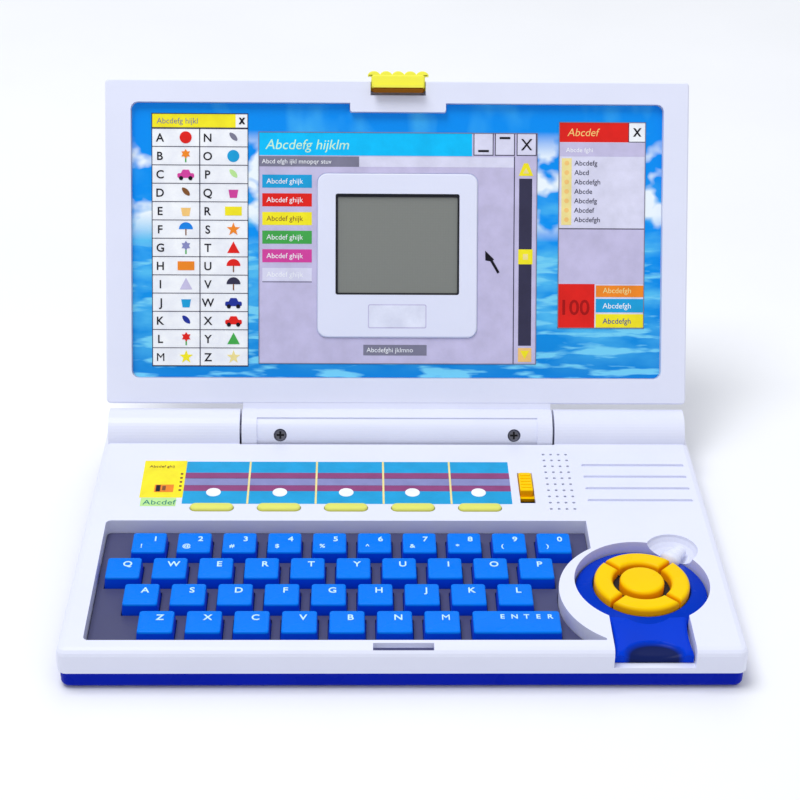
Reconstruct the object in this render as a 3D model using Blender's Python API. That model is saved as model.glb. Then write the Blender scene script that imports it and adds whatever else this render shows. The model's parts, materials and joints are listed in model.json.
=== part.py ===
"""Toy laptop computer: a slim base with a sunken keyboard, a lift-out mouse and a lid with a display.

Units are metres and +Z is up. The person using it sits at -Y, so the hinge runs along X at the back.
The base is drawn from the hinge axis forwards, and the lid is drawn flat and leans with its empty.
"""
import math

import bmesh
import bpy

# ---- driving dimensions -------------------------------------------------------------------------
WIDTH = 0.250                # lid, and base at the hinge
BASE_FLARE = 0.0020          # how much further out each side of the base stands at its front
BASE_LENGTH = 0.150          # hinge axis to the front face
DECK_Z = 0.018               # top of the deck, and the height of the hinge axis
LID_LEAN = math.radians(28)  # how far the open lid leans back from upright
GAP = 0.0003                 # clearance between pieces that touch

# base shells
TRAY_TOP = 0.0074
TRAY_BOTTOM = 0.0006
TRAY_INSET = 0.0007
BASE_REAR = 0.0098
WALL = 0.0018
DECK_UNDER = DECK_Z - WALL
CORNER = 0.0035
FOOT_RADIUS = 0.006
FOOT_INSET = 0.014
BASE_SCREWS = ((-0.109, -0.062), (0.109, -0.062), (-0.058, -0.139), (0.058, -0.139), (0.0, -0.062))
BASE_SCREW_RADIUS = 0.0030

# hinge
BARREL_RADIUS = 0.0098
LUG_HALF = 0.0664
BARREL_START = 0.0673
BARREL_END = 0.1232
TROUGH_RADIUS = 0.0103
TROUGH_SHELL = 0.0118
BARREL_HOLLOW = (0.0780, 0.1205, 0.0072)     # start, end and half depth of the space in each barrel
PIN_RADIUS = 0.0030
PIN_LENGTH = 0.0066
LUG_HOLLOW_HALF = 0.042
PANEL_HALF = 0.060
PANEL_DEPTH = 0.0007
PANEL_SWEEP = (22, 132)      # degrees round the lug, where 90 faces the user across the lid
SCREW_X = 0.050
SCREW_Y = -0.0010            # the hinge screws sit a little below the lug's middle
SCREW_RADIUS = 0.0028
STOP_DROP = 0.0066           # the rear lip ends this far below the axis, where the lid comes to rest

# lid, measured along the lid from the axis and through it from the axis, positive towards the user
LID_START = 0.0120
LID_END = 0.1505
LID_FACE = -GAP              # the closed lid lies this far above the deck
LID_SPLIT = -0.0062
LID_BACK = -0.0115
LID_EDGE = 0.0030
LID_CORNER = 0.0018
CARD_FLOOR = -0.0035
CARD_LOW = 0.0230
CARD_HIGH = 0.1410
CARD_HALF = 0.1142
TAB_HALF = 0.0205            # tab of the frame, under the latch
TAB_DROP = 0.0038
SURROUND_FACE = -0.0021
WINDOW = (-0.0267, 0.0267, 0.0590, 0.1024)
SURROUND = (-0.0344, 0.0344, 0.0406, 0.1110)
LATCH_HALF = 0.0115
LATCH_LOW = 0.1460
LATCH_HIGH = 0.1546
LATCH_TRAVEL = 0.0015
GRIP_HALF = 0.0130
GRIP_LOBES = 5
HOOK_HALF = 0.0106
BACK_PANEL_MARGIN = 0.016
LID_SCREWS = ((-0.1165, 0.0200), (0.1165, 0.0200), (-0.1165, 0.1425), (0.1165, 0.1425))

# keyboard
WELL = (-0.1175, 0.0750, -0.1433, -0.0670)
WELL_CORNER = 0.0020
WELL_DEPTH = 0.006
KEY_TOP = DECK_Z - 0.0010
KEY_TRAVEL = 0.0022
KEY_PITCH = 0.0178
ROW_PITCH = 0.0168
ROW_ONE_Y = -0.0804
KEY_CAP = (0.0132, 0.0127)
KEY_SHAFT = (0.0139, 0.0138)
KEY_FLANGE = 0.0016          # how much wider the key's retaining flange is than its shaft
KEY_FLANGE_HEIGHT = 0.0010
BED_THICKNESS = 0.0016
ENTER_CENTRE = 0.0427
ENTER_EXTRA = 0.0196         # how much wider the enter key is than a letter key
ROWS = (("1234567890", -0.0992), ("qwertyuiop", -0.1075), ("asdfghjkl", -0.0991), ("zxcvbnm", -0.0920))

# mouse and its well
MOUSE_X = 0.0925
MOUSE_Y = -0.1075
MOUSE_WELL_RADIUS = 0.0260
MOUSE_RADIUS = 0.0256
MOUSE_WALL = (0.0940, -0.1140, 0.0340)   # centre and radius of the raised wall beside the keys
MOUSE_FLOOR = DECK_Z - 0.0078
NECK_HALF = 0.0147
NECK_FRONT = -0.1472
PAD_INNER = 0.0112
PAD_OUTER = 0.0186
PAD_CENTRE = 0.0086
PAD_SPLIT = 0.0013
PAD_TRAVEL = 0.0012
EAR = (0.1070, -0.0860)      # scooped recess beside the mouse for its lead
EAR_RADII = (0.0104, 0.0098, 0.0066)
BOOT = (0.1072, -0.0886)

# controls on the deck
MODE_X = [-0.0760 + 0.0272 * step for step in range(5)]
MODE_Y = -0.0580
MODE_SIZE = (0.0174, 0.0046)
MODE_TOP = DECK_Z + 0.0012
SWITCH = (0.0527, -0.0433)
SWITCH_SLOT = (0.0062, 0.0222)
SWITCH_KNOB = (0.0054, 0.0135)
SWITCH_TRAVEL = 0.0070
GROOVE_Y = [-0.0262 - 0.0087 * step for step in range(4)]
GROOVE_X = (0.0772, 0.1205)
GROOVE_HALF = 0.0009
GROOVE_DEPTH = 0.0010
GRILLE_X = [0.0618 + 0.0032 * step for step in range(4)]
GRILLE_Y = [-0.0180 - 0.0045 * step for step in range(10)]
GRILLE_HOLE = 0.0007
CATCH_SLOT = (-0.1487, -0.1450)
DOOR = (-0.029, 0.029, -0.050, -0.015)
SPEAKER = (0.0745, -0.0360, 0.0125)
MAIN_BOARD = (-0.112, 0.056, -0.142, -0.058)
BOARD_THICKNESS = 0.0016
DOME_SHEET = 0.0007          # room between a pressed key's flange and the board


# ---- helpers ------------------------------------------------------------------------------------
def arc(centre, radius, start_deg, end_deg, steps):
    """Points of an arc from one angle to another, both ends included."""
    points = []
    for step in range(steps + 1):
        angle = math.radians(start_deg + (end_deg - start_deg) * step / steps)
        points.append((centre[0] + radius * math.cos(angle), centre[1] + radius * math.sin(angle)))
    return points


def rounded_box(x0, x1, y0, y1, radius, steps=4):
    """Counter-clockwise outline of a rectangle with round corners."""
    outline = []
    corners = ((x1, y0, -90), (x1, y1, 0), (x0, y1, 90), (x0, y0, 180))
    for x, y, start in corners:
        cx = x - math.copysign(radius, x - (x0 + x1) / 2)
        cy = y - math.copysign(radius, y - (y0 + y1) / 2)
        outline += arc((cx, cy), radius, start, start + 90, steps)
    return outline


def grow(box, amount):
    """A box (x0, x1, y0, y1) made larger by the same amount on every side."""
    return box[0] - amount, box[1] + amount, box[2] - amount, box[3] + amount


def add_loft(mesh, rings):
    """Closed body through rings of equal length; each ring is a list of (x, y, z)."""
    layers = [[mesh.verts.new(point) for point in ring] for ring in rings]
    count = len(layers[0])
    for low, high in zip(layers, layers[1:]):
        for i in range(count):
            j = (i + 1) % count
            mesh.faces.new((low[i], low[j], high[j], high[i]))
    mesh.faces.new(list(reversed(layers[0])))
    mesh.faces.new(layers[-1])


def add_prism(mesh, outline, z0, z1):
    """Outline in XY raised from z0 to z1."""
    add_loft(mesh, [[(x, y, z) for x, y in outline] for z in (z0, z1)])


def add_box(mesh, box, z0, z1):
    """Rectangular block over (x0, x1, y0, y1)."""
    x0, x1, y0, y1 = box
    add_prism(mesh, [(x0, y0), (x1, y0), (x1, y1), (x0, y1)], z0, z1)


def add_rod(mesh, x0, x1, radius, y=0.0, z=0.0, sides=48):
    """Round bar along X."""
    circle = arc((y, z), radius, 0, 360, sides)[:-1]
    add_loft(mesh, [[(x, a, b) for a, b in circle] for x in (x0, x1)])


def add_post(mesh, x, y, radius, z0, z1, sides=16):
    """Round bar along Z."""
    add_prism(mesh, arc((x, y), radius, 0, 360, sides)[:-1], z0, z1)


def add_dome(mesh, centre, radii, segments=24, rings=12):
    """Ellipsoid with its poles on Z."""
    cx, cy, cz = centre
    layers = []
    for ring in range(1, rings):
        tilt = math.pi * ring / rings
        flat = arc((0, 0), math.sin(tilt), 0, 360, segments)[:-1]
        z = cz - radii[2] * math.cos(tilt)
        layers.append([mesh.verts.new((cx + radii[0] * a, cy + radii[1] * b, z)) for a, b in flat])
    low = mesh.verts.new((cx, cy, cz - radii[2]))
    high = mesh.verts.new((cx, cy, cz + radii[2]))
    for i in range(segments):
        j = (i + 1) % segments
        mesh.faces.new((low, layers[0][j], layers[0][i]))
        mesh.faces.new((high, layers[-1][i], layers[-1][j]))
        for a, b in zip(layers, layers[1:]):
            mesh.faces.new((a[i], a[j], b[j], b[i]))


def make_material(name, colour, roughness, metallic=0.0):
    """Plain plastic or metal."""
    material = bpy.data.materials.new(name)
    material.use_nodes = True
    shader = material.node_tree.nodes["Principled BSDF"]
    shader.inputs["Base Color"].default_value = (*colour, 1.0)
    shader.inputs["Roughness"].default_value = roughness
    shader.inputs["Metallic"].default_value = metallic
    return material


def make_object(name, build, material, parent, location=(0.0, 0.0, 0.0)):
    """One named object; build fills an empty bmesh with its shape."""
    mesh = bpy.data.meshes.new(name)
    shape = bmesh.new()
    build(shape)
    bmesh.ops.recalc_face_normals(shape, faces=shape.faces)
    shape.to_mesh(mesh)
    shape.free()
    if material is not None:
        mesh.materials.append(material)
        mesh.shade_smooth()
        mesh.set_sharp_from_angle(angle=math.radians(30))
    item = bpy.data.objects.new(name, mesh)
    item.parent = parent
    item.location = location
    bpy.context.scene.collection.objects.link(item)
    return item


def combine(target, build, operation="DIFFERENCE"):
    """Cut a guide body out of the target, or join it on."""
    guide = make_object(target.name + "_guide", build, None, target.parent, target.location)
    guide.hide_render = True
    guide.display_type = "WIRE"
    boolean = target.modifiers.new(operation.title(), "BOOLEAN")
    boolean.operation = operation
    boolean.object = guide
    return guide


def make_empty(name, location, parent=None, tilt=0.0):
    """Frame that other objects hang from."""
    empty = bpy.data.objects.new(name, None)
    empty.parent = parent
    empty.location = location
    empty.rotation_euler = (tilt, 0.0, 0.0)
    bpy.context.scene.collection.objects.link(empty)
    return empty


for stale in list(bpy.data.objects):
    bpy.data.objects.remove(stale)

WHITE = make_material("white_plastic", (0.86, 0.87, 0.93), 0.35)
BLUE = make_material("blue_plastic", (0.01, 0.04, 0.55), 0.3)
KEY_BLUE = make_material("key_blue", (0.01, 0.19, 0.85), 0.3)
YELLOW = make_material("yellow_plastic", (1.0, 0.66, 0.01), 0.35)
DARK = make_material("dark_plastic", (0.07, 0.07, 0.13), 0.5)
GLASS = make_material("display_glass", (0.22, 0.23, 0.2), 0.2)
BOARD = make_material("circuit_board", (0.02, 0.2, 0.07), 0.5)
STEEL = make_material("speaker_steel", (0.4, 0.4, 0.42), 0.4, 0.8)

# the origin is under the middle of the open laptop, so the hinge sits behind the middle of the base
LID_REAR_REACH = ((LID_END - LID_EDGE) * math.sin(LID_LEAN)
                  + (-LID_BACK - LID_EDGE) * math.cos(LID_LEAN) + LID_EDGE)
HINGE_Y = (BASE_LENGTH - LID_REAR_REACH) / 2
base_frame = make_empty("base_frame", (0.0, HINGE_Y, 0.0))
lid_frame = make_empty("lid_frame", (0.0, 0.0, DECK_Z), base_frame, math.pi / 2 - LID_LEAN)
mouse_frame = make_empty("mouse_frame", (MOUSE_X, MOUSE_Y, 0.0), base_frame)


# ---- outlines that several pieces share ---------------------------------------------------------
def well_outline(margin=0.0):
    """Key well: a rectangle whose right end bends round the mouse; a margin makes it larger."""
    x0, x1, y0, y1 = grow(WELL, margin)
    cx, cy, radius = MOUSE_WALL
    radius -= margin
    swing = math.degrees(math.acos((cx - x1) / radius))
    left = rounded_box(x0, x1, y0, y1, WELL_CORNER + margin)
    corner = len(left) // 4
    outline = [(x1, y0)]
    outline += arc((cx, cy), radius, 180 + swing, 180 - swing, 32)
    outline += [(x1, y1)]
    return outline + left[2 * corner:]


def channel_outline(margin=0.0):
    """Mouse well and the channel that leads its neck out of the front."""
    half = NECK_HALF + 0.0004 + margin
    radius = MOUSE_WELL_RADIUS + margin
    swing = math.degrees(math.asin(half / radius))
    outline = arc((MOUSE_X, MOUSE_Y), radius, -90 + swing, 270 - swing, 64)
    front = -BASE_LENGTH - 0.002 if margin == 0 else -BASE_LENGTH + 0.001
    return outline + [(MOUSE_X - half, front), (MOUSE_X + half, front)]


def slab_rings(box, z_insets, radius, steps=5):
    """Rings of a rounded slab whose outline shrinks by an inset at each height."""
    rings = []
    for z, inset in z_insets:
        x0, x1, y0, y1 = grow(box, -inset)
        outline = rounded_box(x0, x1, y0, y1, max(radius - inset, 0.0005), steps)
        rings.append([(x, y, z) for x, y in outline])
    return rings


BASE_BOX = (-WIDTH / 2, WIDTH / 2, -BASE_LENGTH, BASE_REAR)


def flared(rings):
    """Rings of the base, whose sides spread evenly from the hinge to the front."""
    spread = BASE_FLARE / (WIDTH / 2) / BASE_LENGTH
    return [[(x * (1 - y * spread), y, z) for x, y, z in ring] for ring in rings]


# ---- base ---------------------------------------------------------------------------------------
def deck_body(mesh):
    heights = ((TRAY_TOP + GAP, 0), (DECK_Z - 0.0026, 0), (DECK_Z - 0.0014, 0.0004),
               (DECK_Z - 0.0005, 0.0013), (DECK_Z, 0.0028))
    add_loft(mesh, flared(slab_rings(BASE_BOX, heights, CORNER)))


def deck_barrels(mesh):
    for side in (-1, 1):
        ends = sorted((side * BARREL_START, side * BARREL_END))
        add_rod(mesh, ends[0], ends[1], BARREL_RADIUS, 0, DECK_Z)


def deck_trough_shell(mesh):
    """Lower half of a tube under the lug; its upper half is inside the deck's block."""
    lower_half = arc((0, DECK_Z - 0.001), TROUGH_SHELL - 0.001, 180, 360, 20)
    add_loft(mesh, [[(x, y, z) for y, z in lower_half] for x in (-BARREL_START, BARREL_START)])


def deck_cavity_body(mesh):
    add_box(mesh, grow(BASE_BOX, -0.002), TRAY_TOP - 0.001, DECK_UNDER)


def deck_cavity_keep(mesh):
    """What stays standing inside the deck: well walls, hinge blocks and the trough's shell."""
    low = TRAY_TOP - 0.002
    add_prism(mesh, well_outline(WALL), low, DECK_Z)


def deck_cavity_keep_mouse(mesh):
    add_prism(mesh, channel_outline(WALL), TRAY_TOP - 0.002, DECK_Z)


def deck_cavity_keep_rear(mesh):
    add_box(mesh, (-WIDTH / 2, WIDTH / 2, -TROUGH_SHELL, 0.02), TRAY_TOP - 0.002, DECK_Z)


def deck_cavity_keep_ear(mesh):
    add_dome(mesh, (*EAR, DECK_Z + 0.0006), [radius + WALL for radius in EAR_RADII])


def deck_openings(mesh):
    high = DECK_Z + 0.02
    add_prism(mesh, well_outline(), TRAY_TOP - 0.002, high)
    add_prism(mesh, channel_outline(), MOUSE_FLOOR, high)


def deck_trough(mesh):
    add_rod(mesh, -BARREL_START, BARREL_START, TROUGH_RADIUS, 0, DECK_Z)


def deck_rear_notch(mesh):
    add_box(mesh, (-BARREL_START, BARREL_START, -0.0001, 0.02), DECK_Z - STOP_DROP, DECK_Z + 0.02)


def deck_hinge_bores(mesh):
    for side in (-1, 1):
        ends = sorted((side * (BARREL_START - 0.001), side * (BARREL_START + PIN_LENGTH + 0.0006)))
        add_rod(mesh, ends[0], ends[1], PIN_RADIUS + GAP, 0, DECK_Z, 16)
        start, end, half = BARREL_HOLLOW
        ends = sorted((side * start, side * end))
        add_box(mesh, (ends[0], ends[1], -half, half), TRAY_TOP - 0.001, DECK_Z + 0.004)


def deck_control_holes(mesh):
    high = DECK_Z + 0.01
    low = DECK_UNDER - 0.001
    for x in MODE_X:
        half_x = MODE_SIZE[0] / 2 + GAP
        half_y = MODE_SIZE[1] / 2 + GAP
        box = (x - half_x, x + half_x, MODE_Y - half_y, MODE_Y + half_y)
        add_prism(mesh, rounded_box(*box, half_y - 0.0001, 4), low, high)
    half_x = SWITCH_SLOT[0] / 2
    half_y = SWITCH_SLOT[1] / 2
    x, y = SWITCH
    add_box(mesh, (x - half_x, x + half_x, y - half_y, y + half_y), low, high)
    for x in GRILLE_X:
        for y in GRILLE_Y:
            add_post(mesh, x, y, GRILLE_HOLE, low, high, 6)


def deck_grooves(mesh):
    for y in GROOVE_Y:
        outline = rounded_box(*GROOVE_X, y - GROOVE_HALF, y + GROOVE_HALF, GROOVE_HALF - 0.0001, 3)
        add_prism(mesh, outline, DECK_Z - GROOVE_DEPTH, DECK_Z + 0.01)


def deck_catch(mesh):
    """Slot that the latch's hook drops through."""
    half = HOOK_HALF + 0.0006
    add_box(mesh, (-half, half, *CATCH_SLOT), DECK_Z - 0.0065, DECK_Z + 0.01)


def deck_catch_window(mesh):
    """Window under the lip that the latch's toe grips."""
    half = HOOK_HALF + 0.0006
    add_box(mesh, (-half, half, CATCH_SLOT[1] - 0.001, WELL[2] + 0.001), DECK_Z - 0.0065, DECK_Z - 0.0023)


def deck_ear(mesh):
    add_dome(mesh, (*EAR, DECK_Z + 0.0006), EAR_RADII)


deck = make_object("deck", deck_body, WHITE, base_frame)
for join in (deck_barrels, deck_trough_shell):
    combine(deck, join, "UNION")
cavity = combine(deck, deck_cavity_body)
for keep in (deck_cavity_keep, deck_cavity_keep_mouse, deck_cavity_keep_rear, deck_cavity_keep_ear):
    combine(cavity, keep)
for cut in (deck_openings, deck_trough, deck_rear_notch, deck_hinge_bores, deck_control_holes,
            deck_grooves, deck_catch, deck_catch_window, deck_ear):
    combine(deck, cut)


def tray_body(mesh):
    heights = ((TRAY_BOTTOM, 0.0014), (TRAY_BOTTOM + 0.0006, 0.0005), (TRAY_BOTTOM + 0.0016, 0),
               (TRAY_TOP, 0))
    add_loft(mesh, flared(slab_rings(grow(BASE_BOX, -TRAY_INSET), heights, CORNER)))


def tray_feet(mesh):
    for x in (-WIDTH / 2 + FOOT_INSET, WIDTH / 2 - FOOT_INSET):
        for y in (-BASE_LENGTH + FOOT_INSET, BASE_REAR - FOOT_INSET):
            add_post(mesh, x, y, FOOT_RADIUS, 0.0, TRAY_BOTTOM + 0.001, 24)


def tray_cavity(mesh):
    add_box(mesh, grow(BASE_BOX, -TRAY_INSET - WALL), TRAY_BOTTOM + WALL, TRAY_TOP + 0.001)


BATTERY_ROOF = DECK_Z - 0.0026


def tray_battery_box(mesh):
    add_box(mesh, grow(DOOR, 0.0016), TRAY_BOTTOM + 0.001, BATTERY_ROOF)


def tray_battery_bay(mesh):
    add_box(mesh, grow(DOOR, GAP), TRAY_BOTTOM - 0.001, BATTERY_ROOF - 0.0012)


def tray_screw_holes(mesh):
    for x, y in BASE_SCREWS:
        add_post(mesh, x, y, BASE_SCREW_RADIUS, TRAY_BOTTOM - 0.001, TRAY_BOTTOM + 0.001, 16)


tray = make_object("base_tray", tray_body, BLUE, base_frame)
combine(tray, tray_feet, "UNION")
combine(tray, tray_cavity)
combine(tray, tray_battery_box, "UNION")
combine(tray, tray_battery_bay)
combine(tray, tray_screw_holes)


def door_body(mesh):
    add_box(mesh, DOOR, TRAY_BOTTOM, TRAY_BOTTOM + 0.0016)


def door_grip(mesh):
    """Thumb recess that slides the battery door open."""
    add_dome(mesh, (0.0, DOOR[2] + 0.008, TRAY_BOTTOM - 0.0022), (0.007, 0.004, 0.0031), 16, 8)


battery_door = make_object("battery_door", door_body, BLUE, base_frame)
combine(battery_door, door_grip)


# ---- keyboard -----------------------------------------------------------------------------------
BED_TOP = DECK_Z - WELL_DEPTH
BED_UNDER = BED_TOP - BED_THICKNESS


def key_places():
    """Name, centre and extra width of every key."""
    for row, (letters, first_x) in enumerate(ROWS):
        y = ROW_ONE_Y - ROW_PITCH * row
        for column, letter in enumerate(letters):
            yield "key_" + letter, first_x + KEY_PITCH * column, y, 0.0
    yield "key_enter", ENTER_CENTRE, ROW_ONE_Y - ROW_PITCH * 3, ENTER_EXTRA


def clipped_box(size, extra, clip):
    """Rectangle with clipped corners, centred on the origin."""
    half_x = (size[0] + extra) / 2
    half_y = size[1] / 2
    points = []
    for sx, sy in ((1, -1), (1, 1), (-1, 1), (-1, -1)):
        near = [(sx * half_x, sy * (half_y - clip)), (sx * (half_x - clip), sy * half_y)]
        points += near if sx * sy > 0 else near[::-1]
    return points


def key_body(extra):
    """Cap on a shaft through the bed, held in by a flange; its origin is the middle of the cap's top."""
    flange_top = BED_UNDER - GAP - KEY_TOP
    flange = (KEY_SHAFT[0] + KEY_FLANGE, KEY_SHAFT[1] + KEY_FLANGE)

    def build(mesh):
        sections = ((flange_top - KEY_FLANGE_HEIGHT, flange, 0.0012), (flange_top, flange, 0.0012),
                    (flange_top, KEY_SHAFT, 0.0012), (BED_TOP - KEY_TOP, KEY_SHAFT, 0.0012),
                    (-0.0007, (KEY_CAP[0] + 0.0005, KEY_CAP[1] + 0.0005), 0.0012),
                    (0.0, (KEY_CAP[0] - 0.0007, KEY_CAP[1] - 0.0007), 0.0010))
        rings = []
        for z, size, clip in sections:
            rings.append([(x, y, z) for x, y in clipped_box(size, extra, clip)])
        add_loft(mesh, rings)
    return build


letter_key = None
for key_name, key_x, key_y, key_extra in key_places():
    place = (key_x, key_y, KEY_TOP)
    if key_extra or letter_key is None:
        key = make_object(key_name, key_body(key_extra), KEY_BLUE, base_frame, place)
        letter_key = letter_key or key
    else:
        key = bpy.data.objects.new(key_name, letter_key.data)
        key.parent = base_frame
        key.location = place
        bpy.context.scene.collection.objects.link(key)


def bed_body(mesh):
    add_prism(mesh, well_outline(-GAP), BED_UNDER, BED_TOP)


def bed_holes(mesh):
    for _, x, y, extra in key_places():
        half_x = (KEY_SHAFT[0] + extra) / 2 + GAP
        half_y = KEY_SHAFT[1] / 2 + GAP
        add_box(mesh, (x - half_x, x + half_x, y - half_y, y + half_y), BED_UNDER - 0.001, BED_TOP + 0.001)


key_bed = make_object("key_bed", bed_body, DARK, base_frame)
combine(key_bed, bed_holes)


def board_body(mesh):
    top = BED_UNDER - GAP - KEY_FLANGE_HEIGHT - KEY_TRAVEL - DOME_SHEET
    add_box(mesh, MAIN_BOARD, top - BOARD_THICKNESS, top)


make_object("main_board", board_body, BOARD, base_frame)


def speaker_body(mesh):
    x, y, radius = SPEAKER
    circle = arc((x, y), 1.0, 0, 360, 28)[:-1]
    profile = ((0.0052, 0.0070), (0.0092, 0.0070), (0.0112, radius), (0.0128, radius))
    rings = []
    for z, size in profile:
        rings.append([(x + (a - x) * size, y + (b - y) * size, z) for a, b in circle])
    add_loft(mesh, rings)


make_object("speaker", speaker_body, STEEL, base_frame)


# ---- controls on the deck -----------------------------------------------------------------------
def mode_button_body(mesh):
    """Oblong cap with a flange under the deck; its origin is the middle of its top."""
    under = DECK_UNDER - GAP - MODE_TOP
    flange = (0.0010, under - 0.0012, under)
    half_x = MODE_SIZE[0] / 2
    half_y = MODE_SIZE[1] / 2
    sections = ((flange[1], flange[0]), (flange[2], flange[0]), (flange[2], 0), (-0.0004, 0), (0, -0.0004))
    rings = []
    for z, extra in sections:
        box = grow((-half_x, half_x, -half_y, half_y), extra)
        rings.append([(x, y, z) for x, y in rounded_box(*box, half_y + extra - 0.0001, 4)])
    add_loft(mesh, rings)


mode_mesh = None
for number, mode_x in enumerate(MODE_X, 1):
    place = (mode_x, MODE_Y, MODE_TOP)
    if mode_mesh is None:
        mode_mesh = make_object("mode_button_1", mode_button_body, YELLOW, base_frame, place).data
    else:
        button = bpy.data.objects.new("mode_button_%d" % number, mode_mesh)
        button.parent = base_frame
        button.location = place
        bpy.context.scene.collection.objects.link(button)


def switch_body(mesh):
    """Slider at the rear end of its slot: a plate under the deck and a knob through it."""
    half_x = SWITCH_KNOB[0] / 2
    half_y = SWITCH_KNOB[1] / 2
    sections = ((-0.0036, 0.0016), (-0.0036 + 0.0014, 0.0016), (-0.0036 + 0.0014, 0.0),
                (0.0008, 0.0), (0.0014, -0.0006))
    rings = []
    for z, extra in sections:
        box = grow((-half_x, half_x, -half_y, half_y), extra)
        rings.append([(x, y, z) for x, y in rounded_box(*box, 0.0006, 2)])
    add_loft(mesh, rings)


make_object("slide_switch", switch_body, YELLOW, base_frame,
            (SWITCH[0], SWITCH[1] + SWITCH_TRAVEL / 2, DECK_Z))


# ---- mouse --------------------------------------------------------------------------------------
NECK_END = NECK_FRONT - MOUSE_Y
SHELL_BOTTOM = MOUSE_FLOOR + GAP
SHELL_TOP = DECK_Z - 0.0034


def shell_outline(inset=0.0):
    half = NECK_HALF - inset
    radius = MOUSE_RADIUS - inset
    swing = math.degrees(math.asin(half / radius))
    outline = arc((0, 0), radius, -90 + swing, 270 - swing, 64)
    return outline + [(-half, NECK_END + inset), (half, NECK_END + inset)]


def shell_body(mesh):
    heights = ((SHELL_BOTTOM, 0.0), (DECK_Z - 0.0046, 0.0), (SHELL_TOP, 0.0012))
    add_loft(mesh, [[(x, y, z) for x, y in shell_outline(inset)] for z, inset in heights])


def shell_pocket(mesh):
    """Round opening for the pads."""
    add_post(mesh, 0, 0, PAD_OUTER + GAP, SHELL_BOTTOM + 0.0008, DECK_Z, 56)


def shell_neck(mesh):
    """Raised neck whose top falls towards the front."""
    half = NECK_HALF - 0.0012
    start = -PAD_OUTER - 0.0012
    profile = ((NECK_END, SHELL_BOTTOM), (start, SHELL_BOTTOM), (start, SHELL_TOP + 0.0010),
               (NECK_END + 0.0040, SHELL_TOP - 0.0006), (NECK_END, SHELL_TOP - 0.0030))
    add_loft(mesh, [[(x, y, z) for y, z in profile] for x in (-half, half)])


def shell_nose(mesh):
    """Slope at the front of the neck."""
    half = NECK_HALF + 0.001
    profile = ((NECK_END - 0.001, SHELL_BOTTOM - 0.0006), (NECK_END + 0.0044, DECK_Z),
               (NECK_END - 0.001, DECK_Z))
    add_loft(mesh, [[(x, y, z) for y, z in profile] for x in (-half, half)])


def shell_scoop(mesh):
    """Finger scoop that lifts the mouse out."""
    add_dome(mesh, (0, NECK_END - 0.0008, DECK_Z - 0.0034), (0.0112, 0.0062, 0.0042), 24, 12)


mouse_shell = make_object("mouse_shell", shell_body, BLUE, mouse_frame)
combine(mouse_shell, shell_neck, "UNION")
for cut in (shell_pocket, shell_nose, shell_scoop):
    combine(mouse_shell, cut)

PAD_BOTTOM = SHELL_BOTTOM + 0.0008 + PAD_TRAVEL + GAP
PAD_TOP = DECK_Z + 0.0008


def pad_outline(middle_deg, inset):
    """Quarter ring with straight gaps to its neighbours."""
    outer = PAD_OUTER - 0.0002 - inset
    inner = PAD_INNER + inset
    outer_cut = math.degrees((PAD_SPLIT / 2 + inset) / outer)
    inner_cut = math.degrees((PAD_SPLIT / 2 + inset) / inner)
    outline = arc((0, 0), outer, middle_deg - 45 + outer_cut, middle_deg + 45 - outer_cut, 10)
    return outline + arc((0, 0), inner, middle_deg + 45 - inner_cut, middle_deg - 45 + inner_cut, 8)


def pad_body(outline_of):
    """Rounded button cap; its origin is on the mouse's axis at the cap's top."""
    def build(mesh):
        heights = ((PAD_BOTTOM - PAD_TOP, 0.0), (-0.0012, 0.0), (-0.0004, 0.0003), (0.0, 0.0012))
        add_loft(mesh, [[(x, y, z) for x, y in outline_of(inset)] for z, inset in heights])
    return build


for pad_name, middle in (("right", 0), ("up", 90), ("left", 180), ("down", 270)):
    make_object("mouse_pad_" + pad_name, pad_body(lambda inset, middle=middle: pad_outline(middle, inset)),
                YELLOW, mouse_frame, (0, 0, PAD_TOP))


def centre_outline(inset):
    return arc((0, 0), PAD_CENTRE - inset, 0, 360, 28)[:-1]


make_object("mouse_pad_centre", pad_body(centre_outline), YELLOW, mouse_frame, (0, 0, PAD_TOP + 0.0004))


BOOT_CENTRE = (BOOT[0] - MOUSE_X, BOOT[1] - MOUSE_Y, DECK_Z - 0.0030)
BOOT_RADII = (0.0050, 0.0042, 0.0028)


def boot_body(mesh):
    """Moulded sleeve where the mouse's lead enters it, lying in the ear-shaped recess."""
    add_dome(mesh, BOOT_CENTRE, BOOT_RADII, 20, 10)


def boot_seat(mesh):
    add_dome(mesh, BOOT_CENTRE, [radius + GAP for radius in BOOT_RADII], 20, 10)


make_object("mouse_lead_boot", boot_body, WHITE, mouse_frame)
combine(mouse_shell, boot_seat)


# ---- lid ----------------------------------------------------------------------------------------
LID_BOX = (-WIDTH / 2, WIDTH / 2, LID_START, LID_END)
PLATE_BACK = CARD_FLOOR - 0.0014


def lid_front_body(mesh):
    heights = ((LID_SPLIT, 0), (LID_FACE - 0.0006, 0), (LID_FACE, 0.0006))
    add_loft(mesh, slab_rings(LID_BOX, heights, LID_CORNER))


def lid_lug(mesh):
    """Hinge lug, its stub pins and the web that carries it."""
    add_rod(mesh, -LUG_HALF, LUG_HALF, BARREL_RADIUS, 0, 0)


def lid_lug_web(mesh):
    add_box(mesh, (-LUG_HALF, LUG_HALF, 0.0, LID_START + 0.002), LID_SPLIT, LID_FACE - 0.0002)


def lid_pins(mesh):
    for side in (-1, 1):
        ends = sorted((side * (LUG_HALF - 0.001), side * (LUG_HALF + PIN_LENGTH)))
        add_rod(mesh, ends[0], ends[1], PIN_RADIUS, 0, 0, 16)


def lid_lug_hollow(mesh):
    """Space for the wires from the base to the display."""
    add_rod(mesh, -LUG_HOLLOW_HALF, LUG_HOLLOW_HALF, BARREL_RADIUS - 0.002, 0, 0, 24)


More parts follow.
